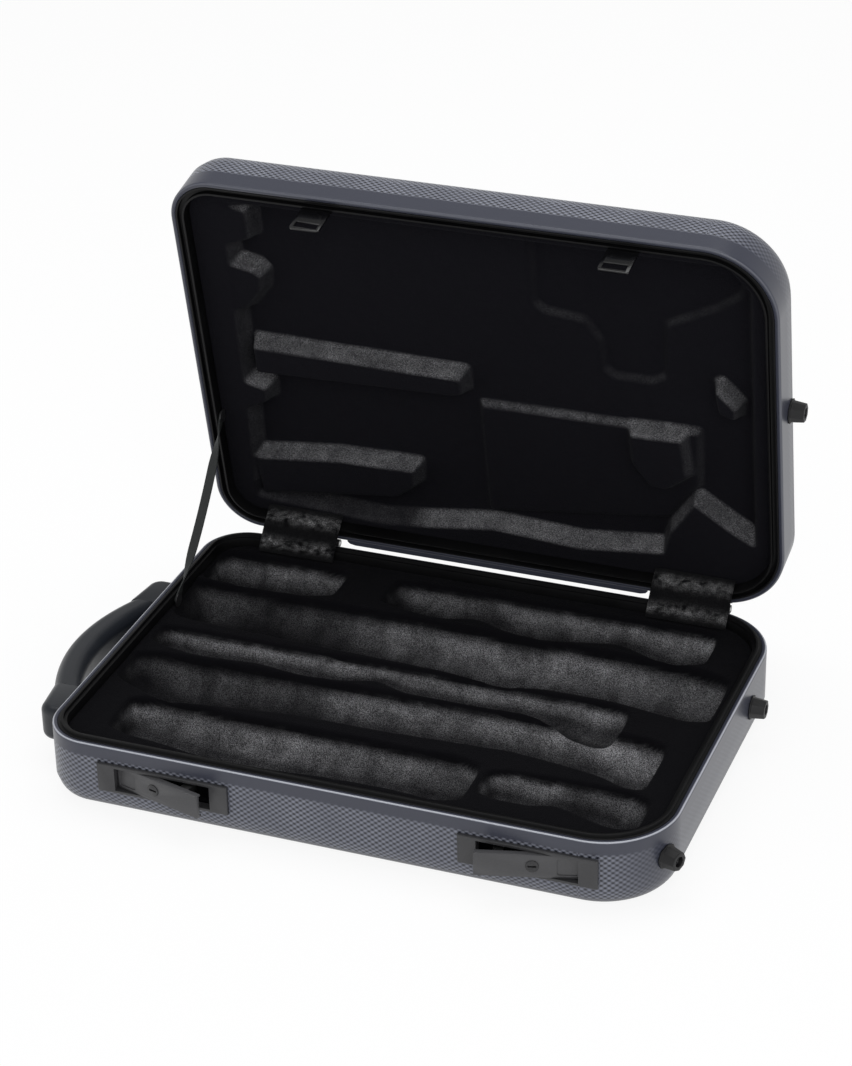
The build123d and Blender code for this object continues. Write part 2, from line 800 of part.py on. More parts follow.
lid_outside = case_block(lid_rim_plane, 1, 0, 0, lid_depth, lid_band, edge_round)
lid_hollow = case_block(
    lid_rim_plane, 1, shell_wall, 0, lid_depth - shell_wall, lid_band, edge_round - shell_wall
)

with BuildPart() as lid_shell:
    add(lid_outside)
    into_lid = Axis(lid_rim_plane.origin, lid_rim_plane.z_dir)
    fillet(lid_shell.faces().sort_by(into_lid)[0].edges(), lip_round)
    add(lid_hollow, mode=Mode.SUBTRACT)
    for side in sides.values():
        hinge_face = at_lid_joint(
            Plane(origin=(side * hinge_spacing / 2, rear, 0), x_dir=(1, 0, 0), z_dir=(0, 1, 0))
        )
        with BuildSketch(hinge_face):
            with Locations(*[(x, -reach) for x, reach in rivet_spots]):
                Circle(rivet_radius + running_play)
        extrude(amount=-shell_wall, mode=Mode.SUBTRACT)
    with BuildSketch(lid_foot_face):
        Circle(screw_radius + running_play)
    extrude(amount=-shell_wall, mode=Mode.SUBTRACT)
keep(lid_shell, "lid_shell")

# Lid rim: outer leg, inner lip and the body that joins them over the groove,
# with blind holes for the striker screws
groove_outer = tongue_inset - groove_play
groove_inner = tongue_inset + tongue_width + groove_play
striker_screw_level = (groove_depth + striker_foot) / 2
striker_screw_spots = [
    (-striker_width / 4, striker_screw_level),
    (striker_width / 4, striker_screw_level),
]


def striker_face(name, inset):
    """Plane in the lid parallel to its front wall, facing outward."""
    spot = (catch_spots[name], front + inset, 0)
    return in_lid(Plane(origin=spot, x_dir=(1, 0, 0), z_dir=(0, -1, 0)))


with BuildPart() as lid_rim:
    ring(lid_rim_plane, shell_wall + rim_fit, groove_outer, 0, groove_depth)
    ring(lid_rim_plane, groove_inner, rim_inner, 0, groove_depth)
    ring(lid_rim_plane, shell_wall + rim_fit, rim_inner, groove_depth, lid_rim_height - groove_depth)
    for name in sides:
        with BuildSketch(striker_face(name, rim_inner)):
            with Locations(*striker_screw_spots):
                Circle(screw_radius)
        extrude(amount=striker_bite, mode=Mode.SUBTRACT)
    with BuildSketch(in_lid(strap_face(strap_lid_y, strap_level))):
        Circle(strap_pin_radius + running_play)
    extrude(amount=-strap_pin_bite, mode=Mode.SUBTRACT)
keep(lid_rim, "lid_rim")

# Strikers: slotted plates on the inner face of the lid's rim
slot_height = nose_height + 2 * slot_play
slot_level = -(latch_drop - nose_rise + joint_gap)
striker_end = slot_level - slot_height / 2 - slot_rim

for name in sides:
    with BuildPart() as striker:
        with BuildSketch(striker_face(name, striker_inner)):
            with Locations((0, (striker_end + striker_foot) / 2)):
                Rectangle(striker_width, striker_foot - striker_end)
            fillet(vertices().sort_by(Axis.Y)[:2], striker_round)
            with Locations((0, slot_level)):
                Rectangle(slot_length, slot_height, mode=Mode.SUBTRACT)
            with Locations(*striker_screw_spots):
                Circle(screw_radius + running_play, mode=Mode.SUBTRACT)
        extrude(amount=striker_thickness)
    keep(striker, "striker_" + name)

with BuildPart() as striker_screws:
    for name in sides:
        with BuildSketch(striker_face(name, striker_inner)):
            with Locations(*striker_screw_spots):
                Circle(screw_radius)
        extrude(amount=striker_thickness + striker_bite)
        with BuildSketch(striker_face(name, striker_inner)):
            with Locations(*striker_screw_spots):
                Circle(striker_head_radius)
        extrude(amount=-striker_head_height)
keep(striker_screws, "striker_screws")

# ---------------------------------------------------------------------------
# Lid lining: ledge, floor, pads that hold the joints down, and the bell's bed

lid_lining_deep = case_block(
    lid_rim_plane, 1, shell_wall + lining_play, lid_rim_height + lining_play,
    lid_depth - shell_wall, lid_band, edge_round - shell_wall,
)
floor_outline = [
    (161, -118), (175, -102), (174, 92), (158, 82), (135, 65), (118, 91), (113, 109), (57, 116),
    (-3, 112), (-47, 119), (-80, 123), (-170, 117), (-166, 44), (-152, 36), (-151, 25), (-166, 21),
    (-163, -86), (-147, -92), (-147, -114), (-165, -118),
]
bell_bed = [
    (159, -116), (171, -105), (166, -88), (150, -76), (118, -59), (117, -20), (107, -14), (82, -14),
    (75, -20), (74, -40), (65, -54), (39, -57), (32, -63), (33, -116),
]
wall_pad = [(-167, -74), (-147, -70), (-141, -64), (-143, -51), (-156, -34), (-168, -32)]
long_pad = [(-160, -10), (-13, -8), (-13, 10), (-23, 12), (-149, 16), (-160, 16)]
short_pad = [(-169, 82), (-107, 74), (-51, 73), (-53, 91), (-67, 103), (-168, 117)]
small_block = [(148, -25), (153, -28), (167, -13), (165, 0), (150, -6)]
step_floor = [(-8, 17), (93, 16), (139, 14), (138, 59), (132, 65), (116, 89), (-8, 107)]
cup_block = [(92, 16), (130, 15), (133, 48), (117, 61), (105, 60), (93, 43)]


def lid_patch(level, points):
    """Outline on the lid at a level above its rim, with an arc at each corner."""
    corners = [Vector(x, y) for x, y in points]
    with BuildSketch(lid_rim_plane.offset(level)) as patch:
        with BuildLine():
            last = None
            before_each = corners[-1:] + corners[:-1]
            after_each = corners[1:] + corners[:1]
            for before, corner, after in zip(before_each, corners, after_each):
                back = (before - corner).normalized()
                on = (after - corner).normalized()
                half_turn = radians(back.get_angle(on) / 2)
                reach = pad_corner / tan(half_turn)
                middle = (back + on).normalized() * (pad_corner / sin(half_turn) - pad_corner)
                arc = ThreePointArc(corner + back * reach, corner + middle, corner + on * reach)
                if last is None:
                    first = arc
                else:
                    Line(last @ 1, arc @ 0)
                last = arc
            Line(last @ 1, first @ 0)
        make_face()
    return patch.sketch


with BuildPart() as lid_lining:
    add(lid_lining_deep)
    with BuildSketch(lid_rim_plane.offset(lid_ledge)):
        case_outline(rim_inner + lining_play)
    extrude(amount=lid_rim_height + lining_play - lid_ledge)
    recess = lid_patch(lid_ledge, floor_outline)
    extrude(recess, amount=lid_floor - lid_ledge, taper=pad_slope, mode=Mode.SUBTRACT)
    extrude(lid_patch(lid_floor, step_floor), amount=-step_rise, taper=pad_slope)
    for pad in (wall_pad, long_pad, short_pad, small_block, cup_block):
        extrude(lid_patch(lid_floor, pad), amount=lid_pad_front - lid_floor, taper=pad_slope)
    bed = lid_patch(lid_floor, bell_bed)
    extrude(bed, amount=bell_sink, taper=pad_slope, mode=Mode.SUBTRACT)
    for catch_x in catch_spots.values():
        with BuildSketch(lid_rim_plane.offset(lid_ledge)):
            with Locations((catch_x, front + rim_inner + striker_way / 2)):
                Rectangle(striker_width + pocket_play, striker_way)
        extrude(amount=striker_foot - lid_ledge + lining_play, mode=Mode.SUBTRACT)
    with BuildSketch(in_lid(Plane.YZ.offset(left + rim_inner))):
        with Locations((strap_lid_y, strap_level)):
            Rectangle(strap_pocket, strap_pocket)
    extrude(amount=strap_pocket_depth, mode=Mode.SUBTRACT)
keep(lid_lining, "lid_lining")

# ---------------------------------------------------------------------------
# Stay strap between two shouldered pins in the rims


def strap_pin(plane):
    """Pin with a broad head that holds the strap's eye against the rim."""
    with BuildPart() as pin:
        with BuildSketch(plane.offset(-strap_pin_bite)):
            Circle(strap_pin_radius)
        extrude(amount=strap_pin_bite + strap_thickness + 2 * strap_gap)
        with BuildSketch(plane.offset(strap_thickness + 2 * strap_gap)):
            Circle(strap_head_radius)
        extrude(amount=strap_head_height)
    return pin


keep(strap_pin(strap_face(strap_base_y, base_depth - strap_level)), "strap_anchor_base")
keep(strap_pin(in_lid(strap_face(strap_lid_y, strap_level))), "strap_anchor_lid")

strap_run = (lid_strap_point.Y - strap_base_y, lid_strap_point.Z - (base_depth - strap_level))
strap_length = hypot(*strap_run)
with BuildPart() as stay_strap:
    with BuildSketch(Plane.YZ.offset(strap_x)):
        middle = (strap_base_y + strap_run[0] / 2, base_depth - strap_level + strap_run[1] / 2)
        strap_slope = degrees(atan2(strap_run[1], strap_run[0]))
        with Locations(middle):
            SlotCenterToCenter(strap_length, strap_width, rotation=strap_slope)
        lower_eye = (strap_base_y, base_depth - strap_level)
        with Locations(lower_eye, (lid_strap_point.Y, lid_strap_point.Z)):
            Circle(strap_pin_radius + keeper_play, mode=Mode.SUBTRACT)
    extrude(amount=strap_thickness)
keep(stay_strap, "stay_strap")

# ---------------------------------------------------------------------------
# Hinge covers: plush flaps from the tray's ridge over the rims to the lid


def lid_spot(y, z):
    """World Y and Z of a spot in the open lid."""
    spot = lid_rim_plane.from_local_coords(Vector(0, y, z))
    return (spot.Y, spot.Z)


cover_clear = cover_thickness / 2 + lining_play
cover_path = [
    (rear - rim_inner - cover_lap, ridge_top + cover_clear),
    (rear - rim_inner - cover_inset, base_depth + cover_clear),
    lid_spot(rear - rim_inner - cover_inset, -cover_clear),
    lid_spot(rear - rim_inner - cover_lap, lid_ledge - cover_clear),
]
for name, side in sides.items():
    with BuildPart() as hinge_cover:
        with BuildSketch(Plane.YZ.offset(side * hinge_spacing / 2 - cover_width / 2)):
            with BuildLine():
                Polyline(*cover_path)
            trace(line_width=cover_thickness)
        extrude(amount=cover_width)
    keep(hinge_cover, "hinge_cover_" + name)

print("strap length", round(strap_length, 1))
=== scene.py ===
import math

import bmesh
import bpy
import numpy as np
from mathutils import Matrix, Vector


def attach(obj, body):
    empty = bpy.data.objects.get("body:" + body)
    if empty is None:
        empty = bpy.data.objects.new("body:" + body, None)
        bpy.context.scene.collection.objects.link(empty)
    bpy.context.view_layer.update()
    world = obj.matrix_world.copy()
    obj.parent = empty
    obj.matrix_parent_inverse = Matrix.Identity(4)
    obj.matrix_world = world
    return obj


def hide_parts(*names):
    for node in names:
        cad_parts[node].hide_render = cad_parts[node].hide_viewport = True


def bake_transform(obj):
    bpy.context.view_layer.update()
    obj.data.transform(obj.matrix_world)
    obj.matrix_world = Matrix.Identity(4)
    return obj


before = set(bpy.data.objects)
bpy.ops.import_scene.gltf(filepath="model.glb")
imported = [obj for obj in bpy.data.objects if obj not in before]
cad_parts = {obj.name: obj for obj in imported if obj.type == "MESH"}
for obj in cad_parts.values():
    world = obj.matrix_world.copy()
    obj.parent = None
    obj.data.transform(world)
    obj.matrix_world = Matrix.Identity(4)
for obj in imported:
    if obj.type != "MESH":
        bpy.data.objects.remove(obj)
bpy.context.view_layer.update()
print("frame loaded")

# The case in millimetres, the same sizes as the solids
case = {
    "length": 390, "width": 274, "baseDepth": 47, "lidDepth": 40,
    "leftCorner": 30, "rightCorner": 47, "cornerSteps": 26, "edgeRound": 12, "draft": 6,
    "baseBand": 34, "lidBand": 26, "wall": 3, "lipRound": 1.3, "liningInset": 9.3,
    "hingeY": 140, "hingeZ": 47.15, "jointGap": 0.3, "opening": 78.6, "hingeInset": 60.5,
}
frontFace = -case["width"] / 2

# Shapes are drawn in millimetres and placed in metres. The lid's own axes are
# those of the closed case, with z as the depth behind the lid's rim.
basePlace = Matrix.Scale(0.001, 4)
lidPlace = (
    basePlace
    @ Matrix.Translation((0, case["hingeY"], case["hingeZ"]))
    @ Matrix.Rotation(math.radians(-case["opening"]), 4, "X")
    @ Matrix.Translation((0, -case["hingeY"], case["jointGap"] / 2))
)
bodyPlace = {"base": basePlace, "lid": lidPlace}
rimPlace = {"base": basePlace @ Matrix.Translation((0, 0, case["baseDepth"])), "lid": lidPlace}


# Small helpers for meshes


def linkData(name, data):
    obj = bpy.data.objects.new(name, data)
    bpy.context.scene.collection.objects.link(obj)
    return obj


def makeMesh(name, points, faces=(), place=Matrix.Identity(4), uvs=None, edges=()):
    mesh = bpy.data.meshes.new(name)
    mesh.from_pydata([tuple(p) for p in points], edges, [list(f) for f in faces])
    if uvs is not None:
        layer = mesh.uv_layers.new(name="surface")
        layer.data.foreach_set("uv", np.asarray(uvs, float).ravel())
    mesh.transform(place)
    mesh.update()
    return linkData(name, mesh)


def tubeFaces(rings, count):
    # faces between neighbouring rings of points, and one over each end
    faces = []
    for ring in range(rings - 1):
        for k in range(count):
            a, b = ring * count + k, ring * count + (k + 1) % count
            faces.append((a, b, b + count, a + count))
    return faces + [range(count), range((rings - 1) * count, rings * count)]


def gridQuads(index):
    corners = index[..., :-1, :-1], index[..., 1:, :-1], index[..., 1:, 1:], index[..., :-1, 1:]
    return np.stack(corners, -1).reshape(-1, 4)


def faceOutward(obj):
    bm = bmesh.new()
    bm.from_mesh(obj.data)
    bmesh.ops.recalc_face_normals(bm, faces=bm.faces)
    bm.to_mesh(obj.data)
    bm.free()


def shadeSmooth(obj, angle=35):
    obj.data.polygons.foreach_set("use_smooth", [True] * len(obj.data.polygons))
    obj.data.set_sharp_from_angle(angle=math.radians(angle))


def bakeModifiers(obj):
    bpy.context.view_layer.update()
    evaluated = obj.evaluated_get(bpy.context.evaluated_depsgraph_get())
    mesh = bpy.data.meshes.new_from_object(evaluated)
    obj.modifiers.clear()
    obj.data = mesh


def addAttribute(obj, name, values):
    attribute = obj.data.attributes.new(name, "FLOAT", "POINT")
    attribute.data.foreach_set("value", np.asarray(values, np.float32).ravel())


def dress(obj, body, slotName, material, *nodes):
    obj.data.materials.clear()
    obj.data.materials.append(material)
    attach(obj, body)
    if nodes:
        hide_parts(*nodes)
    return obj


def pieceName(node):
    # latch_plate_left becomes latchPlate_left
    words = node.split("_")
    end = "_" + words.pop() if words[-1] in ("left", "right", "front", "rear") else ""
    return words[0] + "".join(word.capitalize() for word in words[1:]) + end


def copyNode(node, body, slotName, material, bevel, segments=2):
    # a merged copy of a CAD node with its hard edges broken
    bm = bmesh.new()
    bm.from_mesh(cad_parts[node].data)
    bmesh.ops.remove_doubles(bm, verts=bm.verts, dist=1e-6)
    bmesh.ops.dissolve_limit(bm, angle_limit=0.01, verts=bm.verts, edges=bm.edges)
    name = pieceName(node)
    mesh = bpy.data.meshes.new(name)
    bm.to_mesh(mesh)
    bm.free()
    obj = linkData(name, mesh)
    if bevel:
        rounding = obj.modifiers.new("rounding", "BEVEL")
        rounding.width = bevel * 0.001
        rounding.segments = segments
        rounding.limit_method = "ANGLE"
        rounding.angle_limit = math.radians(32)
        bakeModifiers(obj)
    shadeSmooth(obj, 40)
    dress(obj, body, slotName, material, node)


# Helpers for node trees, of shapes and of materials


def setInputs(tree, node, wires):
    # wires names inputs: a socket is linked and any other value is set
    for key, value in wires.items():
        if isinstance(value, bpy.types.NodeSocket):
            tree.links.new(value, node.inputs[key])
        else:
            node.inputs[key].default_value = value


def addNode(tree, kind, wires={}, **settings):
    node = tree.nodes.new(kind)
    for key, value in settings.items():
        setattr(node, key, value)
    setInputs(tree, node, wires)
    return node


def firstOut(tree, kind, wires={}, **settings):
    return addNode(tree, kind, wires, **settings).outputs[0]


def mathNode(tree, operation, *values):
    return firstOut(tree, "ShaderNodeMath", dict(enumerate(values)), operation=operation)


def newTree(name, inputs, outputs, treeKind="ShaderNodeTree"):
    # inputs and outputs give the kind of each socket
    tree = bpy.data.node_groups.new(name, treeKind)
    for way, sockets in (("INPUT", inputs), ("OUTPUT", outputs)):
        for label, kind in sockets.items():
            tree.interface.new_socket(label, in_out=way, socket_type="NodeSocket" + kind)
    return tree, tree.nodes.new("NodeGroupInput").outputs, tree.nodes.new("NodeGroupOutput")


# Geometry trees: each takes a mesh first and puts out geometry


def endTree(tree, geometry, start, end):
    real = firstOut(tree, "GeometryNodeRealizeInstances", {0: geometry})
    coat = {"Geometry": real, "Material": start["Material"]}
    setInputs(tree, end, {0: firstOut(tree, "GeometryNodeSetMaterial", coat)})
    return tree


def runTree(obj, tree, values):
    modifier = obj.modifiers.new(tree.name, "NODES")
    modifier.node_group = tree
    for item in tree.interface.items_tree:
        if item.in_out == "INPUT" and item.name in values:
            modifier[item.identifier] = values[item.name]
    bakeModifiers(obj)


def buildRimSweep():
    # carries a closed profile round a rectangle whose corners at the left and
    # the right end have radii of their own
    tree, start, end = newTree("rimSweep", {
        "Geometry": "Geometry", "Length": "Float", "Width": "Float", "Left Corner": "Float",
        "Right Corner": "Float", "Corner Steps": "Int", "Material": "Material",
    }, {"Geometry": "Geometry"}, "GeometryNodeTree")
    sizes = {"Width": start["Length"], "Height": start["Width"]}
    box = firstOut(tree, "GeometryNodeCurvePrimitiveQuadrilateral", sizes, mode="RECTANGLE")
    across = firstOut(tree, "ShaderNodeSeparateXYZ", {0: firstOut(tree, "GeometryNodeInputPosition")})
    onRight = firstOut(tree, "FunctionNodeCompare", {0: across, 1: 0.0}, operation="GREATER_THAN")
    radius = firstOut(tree, "GeometryNodeSwitch", {
        "Switch": onRight, "False": start["Left Corner"], "True": start["Right Corner"],
    }, input_type="FLOAT")
    rounded = firstOut(tree, "GeometryNodeFilletCurve", {
        "Curve": box, "Radius": radius, "Count": start["Corner Steps"],
    }, mode="POLY")
    level = firstOut(tree, "GeometryNodeSetCurveNormal", {"Curve": rounded}, mode="Z_UP")
    profile = firstOut(tree, "GeometryNodeMeshToCurve", {"Mesh": start["Geometry"]})
    swept = firstOut(tree, "GeometryNodeCurveToMesh", {"Curve": level, "Profile Curve": profile})
    return endTree(tree, swept, start, end)


def buildHeadedPins():
    # a pin with a chamfered head at each point, along the way it faces
    tree, start, end = newTree("headedPins", {
        "Geometry": "Geometry", "Shank Radius": "Float", "Shank Length": "Float",
        "Head Radius": "Float", "Head Height": "Float", "Sides": "Int", "Material": "Material",
    }, {"Geometry": "Geometry"}, "GeometryNodeTree")
    sizes = {"Vertices": start["Sides"], "Radius": start["Shank Radius"]}
    ring = firstOut(tree, "GeometryNodeMeshCircle", sizes, fill_type="NGON")
    widen = mathNode(tree, "DIVIDE", start["Head Radius"], start["Shank Radius"])
    rise, crown = (mathNode(tree, "MULTIPLY", start["Head Height"], share) for share in (0.6, 0.4))
    mesh, chosen = ring, {}
    for reach, scale in ((start["Shank Length"], None), (0.001, widen), (rise, None), (crown, 0.72)):
        step = addNode(tree, "GeometryNodeExtrudeMesh", {"Mesh": mesh, "Offset Scale": reach, **chosen})
        mesh, chosen = step.outputs["Mesh"], {"Selection": step.outputs["Top"]}
        if scale is not None:
            wires = {"Geometry": mesh, "Scale": scale, **chosen}
            mesh = firstOut(tree, "GeometryNodeScaleElements", wires)
    joined = addNode(tree, "GeometryNodeJoinGeometry", {0: mesh})
    setInputs(tree, joined, {0: firstOut(tree, "GeometryNodeFlipFaces", {"Mesh": ring})})
    wires = {"Geometry": joined.outputs[0], "Distance": 0.0005}
    whole = firstOut(tree, "GeometryNodeMergeByDistance", wires)
    spots = firstOut(tree, "GeometryNodeMeshToPoints", {"Mesh": start["Geometry"]})
    wires = {"Name": "facing"}
    facing = firstOut(tree, "GeometryNodeInputNamedAttribute", wires, data_type="FLOAT_VECTOR")
    turned = firstOut(tree, "FunctionNodeAlignRotationToVector", {"Vector": facing}, axis="Z")
    wires = {"Points": spots, "Instance": whole, "Rotation": turned}
    return endTree(tree, firstOut(tree, "GeometryNodeInstanceOnPoints", wires), start, end)


rimSweep = buildRimSweep()
headedPins = buildHeadedPins()


def makePins(node, runs, height, body, material, sizes):
    # pins that face the rear, at each x of runs and a height of (y, z)
    obj = makeMesh(pieceName(node), [(x, *height) for x in runs])
    layer = obj.data.attributes.new("facing", "FLOAT_VECTOR", "POINT")
    layer.data.foreach_set("vector", np.tile(np.float32((0, 1, 0)), len(runs)))
    runTree(obj, headedPins, {"Sides": 28, "Material": material, **sizes})
    obj.data.transform(bodyPlace[body])
    faceOutward(obj)
    shadeSmooth(obj, 35)
    dress(obj, body, "steel", material, node)


# Small helpers for materials


def useGroup(tree, group, **wires):
    return addNode(tree, "ShaderNodeGroup", wires, node_tree=group).outputs


def newMaterial(name, wires={}):
    material = bpy.data.materials.new(name)
    material.use_nodes = True
    tree = material.node_tree
    shader = tree.nodes["Principled BSDF"]
    setInputs(tree, shader, wires)
    return material, tree, shader


def mixColours(tree, factor, *colours):
    # each colour is a socket or three numbers
    wires = {"Factor": factor}
    for key, colour in zip((6, 7), colours):
        wires[key] = (*colour, 1) if isinstance(colour, tuple) else colour
    return addNode(tree, "ShaderNodeMix", wires, data_type="RGBA").outputs[2]


def mapRange(tree, value, low, high, newLow=0.0, newHigh=1.0):
    wires = {"Value": value, "From Min": low, "From Max": high, "To Min": newLow, "To Max": newHigh}
    return firstOut(tree, "ShaderNodeMapRange", wires)


def bumpNormal(tree, height, distance, strength=1.0):
    wires = {"Height": height, "Distance": distance, "Strength": strength}
    return firstOut(tree, "ShaderNodeBump", wires)


def addNoise(tree, vector, scale, detail, roughness, distortion=0.0):
    wires = {"Vector": vector, "Scale": scale, "Detail": detail, "Roughness": roughness}
    return firstOut(tree, "ShaderNodeTexNoise", {**wires, "Distortion": distortion})


def objectPlace(tree):
    return addNode(tree, "ShaderNodeTexCoord").outputs["Object"]


def attributeValue(tree, name):
    return addNode(tree, "ShaderNodeAttribute", attribute_name=name).outputs["Fac"]


# Effects that several materials use


def buildGrain():
    # fine moulded or cast grain with slow patches over it
    tree, start, end = newTree(
        "fineGrain", {"Vector": "Vector", "Scale": "Float", "Patch": "Float"},
        {"Grain": "Float", "Patches": "Float"},
    )
    fine = addNoise(tree, start["Vector"], start["Scale"], 3.0, 0.6)
    slow = addNoise(tree, start["Vector"], start["Patch"], 4.0, 0.55)
    setInputs(tree, end, {"Grain": fine, "Patches": slow})
    return tree


def buildPile():
    # plush: hairs as specks, soft clumps, and the height of both
    tree, start, end = newTree(
        "plushPile", {"Vector": "Vector", "Speck": "Float", "Clump": "Float"},
        {"Specks": "Float", "Clumps": "Float", "Height": "Float"},
    )
    speck = addNoise(tree, start["Vector"], start["Speck"], 2.0, 0.75)
    clump = addNoise(tree, start["Vector"], start["Clump"], 5.0, 0.62, 0.6)
    crisp, soft = mapRange(tree, speck, 0.42, 0.64), mapRange(tree, clump, 0.34, 0.66)
    height = mathNode(tree, "ADD", crisp, mathNode(tree, "MULTIPLY", soft, 1.5))
    setInputs(tree, end, {"Specks": crisp, "Clumps": soft, "Height": height})
    return tree


def buildWeave():
    # checked weave of raised and sunk spots, in metres along the surface
    tree, start, end = newTree(
        "checkedWeave", {"Vector": "Vector", "Across": "Float", "Along": "Float"},
        {"Weave": "Float"},
    )
    split = addNode(tree, "ShaderNodeSeparateXYZ", {0: start["Vector"]}).outputs
    waves = []
    for axis, key in ((0, "Across"), (1, "Along")):
        turns = mathNode(tree, "DIVIDE", split[axis], start[key])
        waves.append(mathNode(tree, "COSINE", mathNode(tree, "MULTIPLY", turns, math.tau)))
    setInputs(tree, end, {"Weave": mapRange(tree, mathNode(tree, "MULTIPLY", *waves), -0.75, 0.75)})
    return tree


grainGroup = buildGrain()
pileGroup = buildPile()
weaveGroup = buildWeave()


# Materials


# lip is the colour of a painted highlight along the top edge of the lip
shellLook = {
    "base": (0.049, 0.053, 0.076), "dark": (0.010, 0.011, 0.017), "light": (0.27, 0.285, 0.35),
    "lip": (0.5, 0.52, 0.58), "roughness": 0.33, "bump": 0.0003, "across": 0.0045, "along": 0.00345,
}


def shellPlastic():
    material, tree, shader = newMaterial("shellPlastic", {"Roughness": shellLook["roughness"]})
    uv = firstOut(tree, "ShaderNodeUVMap", uv_map="surface")
    spacing = {"Across": shellLook["across"], "Along": shellLook["along"]}
    weave = useGroup(tree, weaveGroup, Vector=uv, **spacing)["Weave"]
    grain = useGroup(tree, grainGroup, Vector=objectPlace(tree), Scale=700.0, Patch=30.0)
    uneven = mapRange(tree, grain["Patches"], 0.3, 0.7, 0.65, 1.0)
    share = mathNode(tree, "MULTIPLY", attributeValue(tree, "weave"), uneven)
    spots = mixColours(tree, weave, shellLook["dark"], shellLook["light"])
    woven = mixColours(tree, share, shellLook["base"], spots)
    # a painted highlight along the lip's top edge, where the lip mask is set
    colour = mixColours(tree, attributeValue(tree, "lip"), woven, shellLook["lip"])
    raised = mathNode(tree, "MULTIPLY", weave, share)
    height = mathNode(tree, "ADD", raised, mathNode(tree, "MULTIPLY", grain["Grain"], 0.05))
    normal = bumpNormal(tree, height, shellLook["bump"])
    setInputs(tree, shader, {"Base Color": colour, "Normal": normal})
    return material


def grainPlastic(name, dark, light, roughness, scale=900.0, bump=0.00004, inputs={}):
    material, tree, shader = newMaterial(name, inputs)
    grain = useGroup(tree, grainGroup, Vector=objectPlace(tree), Scale=scale, Patch=25.0)
    mixed = mathNode(tree, "MULTIPLY", mathNode(tree, "ADD", grain["Grain"], grain["Patches"]), 0.5)
    setInputs(tree, shader, {
        "Base Color": mixColours(tree, mapRange(tree, mixed, 0.35, 0.65), dark, light),
        "Roughness": mapRange(tree, grain["Patches"], 0.3, 0.7, *roughness),
        "Normal": bumpNormal(tree, grain["Grain"], bump),
    })
    return material


def plushCloth(name, dark, light, sheen):
    material, tree, shader = newMaterial(name, {
        "Roughness": 0.95, "Specular IOR Level": 0.08, "Sheen Weight": sheen,
        "Sheen Roughness": 0.35, "Sheen Tint": (0.75, 0.77, 0.82, 1),
    })
    pile = useGroup(tree, pileGroup, Vector=objectPlace(tree), Speck=1700.0, Clump=70.0)
    clumps = mapRange(tree, pile["Clumps"], 0.0, 1.0, 0.45, 1.0)
    specks = mapRange(tree, pile["Specks"], 0.0, 1.0, 0.12, 1.0)
    # painted sheen and light on the pile, partly brushed pile, given per vertex by this mask and shown in
    # the light colour
    factor = mathNode(tree, "MULTIPLY", attributeValue(tree, "nap"), clumps)
    colour = mixColours(tree, mathNode(tree, "MULTIPLY", factor, specks), dark, light)
    normal = bumpNormal(tree, pile["Height"], 0.0005, 0.7)
    setInputs(tree, shader, {"Base Color": colour, "Normal": normal})
    return material


shellMaterial = shellPlastic()
rimMaterial = grainPlastic(
    "rimPlastic", (0.0022, 0.0022, 0.0026), (0.004, 0.004, 0.0046), (0.42, 0.55),
    inputs={"Specular IOR Level": 0.22},
)
# each plush's light colour is the painted sheen and light on its pile
trayPlush = plushCloth("trayPlush", (0.0042, 0.0041, 0.0056), (0.68, 0.68, 0.71), 0.02)
lidPlush = plushCloth("lidPlush", (0.0085, 0.0082, 0.0115), (0.50, 0.50, 0.52), 0.03)
coverPlush = plushCloth("coverPlush", (0.005, 0.005, 0.006), (0.62, 0.62, 0.63), 0.04)
latchCoat = grainPlastic(
    "latchCoat", (0.036, 0.036, 0.039), (0.046, 0.046, 0.049), (0.36, 0.46), bump=0.00005
)
leverCoat = grainPlastic(
    "leverCoat", (0.056, 0.056, 0.06), (0.072, 0.072, 0.076), (0.34, 0.42), bump=0.00005
)
darkMetal = grainPlastic("darkMetal", (0.012, 0.012, 0.013), (0.022, 0.022, 0.024), (0.3, 0.4))
strikerCoat = grainPlastic(
    "strikerCoat", (0.0025, 0.0025, 0.003), (0.005, 0.005, 0.006), (0.14, 0.2), bump=0.00001
)
plainSteel = grainPlastic(
    "plainSteel", (0.42, 0.42, 0.43), (0.6, 0.6, 0.6), (0.22, 0.38), scale=500.0, inputs={"Metallic": 1.0}
)
lockMetal = grainPlastic(
    "lockMetal", (0.03, 0.03, 0.032), (0.06, 0.06, 0.062), (0.18, 0.3), inputs={"Metallic": 0.6}
)
gripPlastic = grainPlastic(
    "gripPlastic", (0.010, 0.013, 0.018), (0.018, 0.021, 0.028), (0.3, 0.45), bump=0.00006
)
footRubber = grainPlastic("footRubber", (0.002, 0.002, 0.003), (0.004, 0.004, 0.005), (0.5, 0.62))
strapWeb = grainPlastic(
    "strapWeb", (0.014, 0.017, 0.017), (0.033, 0.036, 0.036), (0.6, 0.8), scale=1400.0
)
print("materials made")


# Rounded outline of the case and sweeps round it


def caseOutline():
    # places, outward directions and distance run, anticlockwise from above,
    # starting where the front wall meets the front right corner
    halfX, halfY, steps = case["length"] / 2, case["width"] / 2, case["cornerSteps"]
    corners = (
        (1, -1, case["rightCorner"], -90), (1, 1, case["rightCorner"], 0),
        (-1, 1, case["leftCorner"], 90), (-1, -1, case["leftCorner"], 180),
    )
    places, ways = [], []
    for signX, signY, radius, start in corners:
        for k in range(steps + 1):
            angle = math.radians(start + 90 * k / steps)
            way = (math.cos(angle), math.sin(angle))
            placeX = signX * (halfX - radius) + radius * way[0]
            placeY = signY * (halfY - radius) + radius * way[1]
            places.append((placeX, placeY))
            ways.append(way)
    places, ways = np.array(places), np.array(ways)
    gaps = np.linalg.norm(np.roll(places, -1, 0) - places, axis=1)
    return places, ways, np.concatenate([[0], np.cumsum(gaps)])


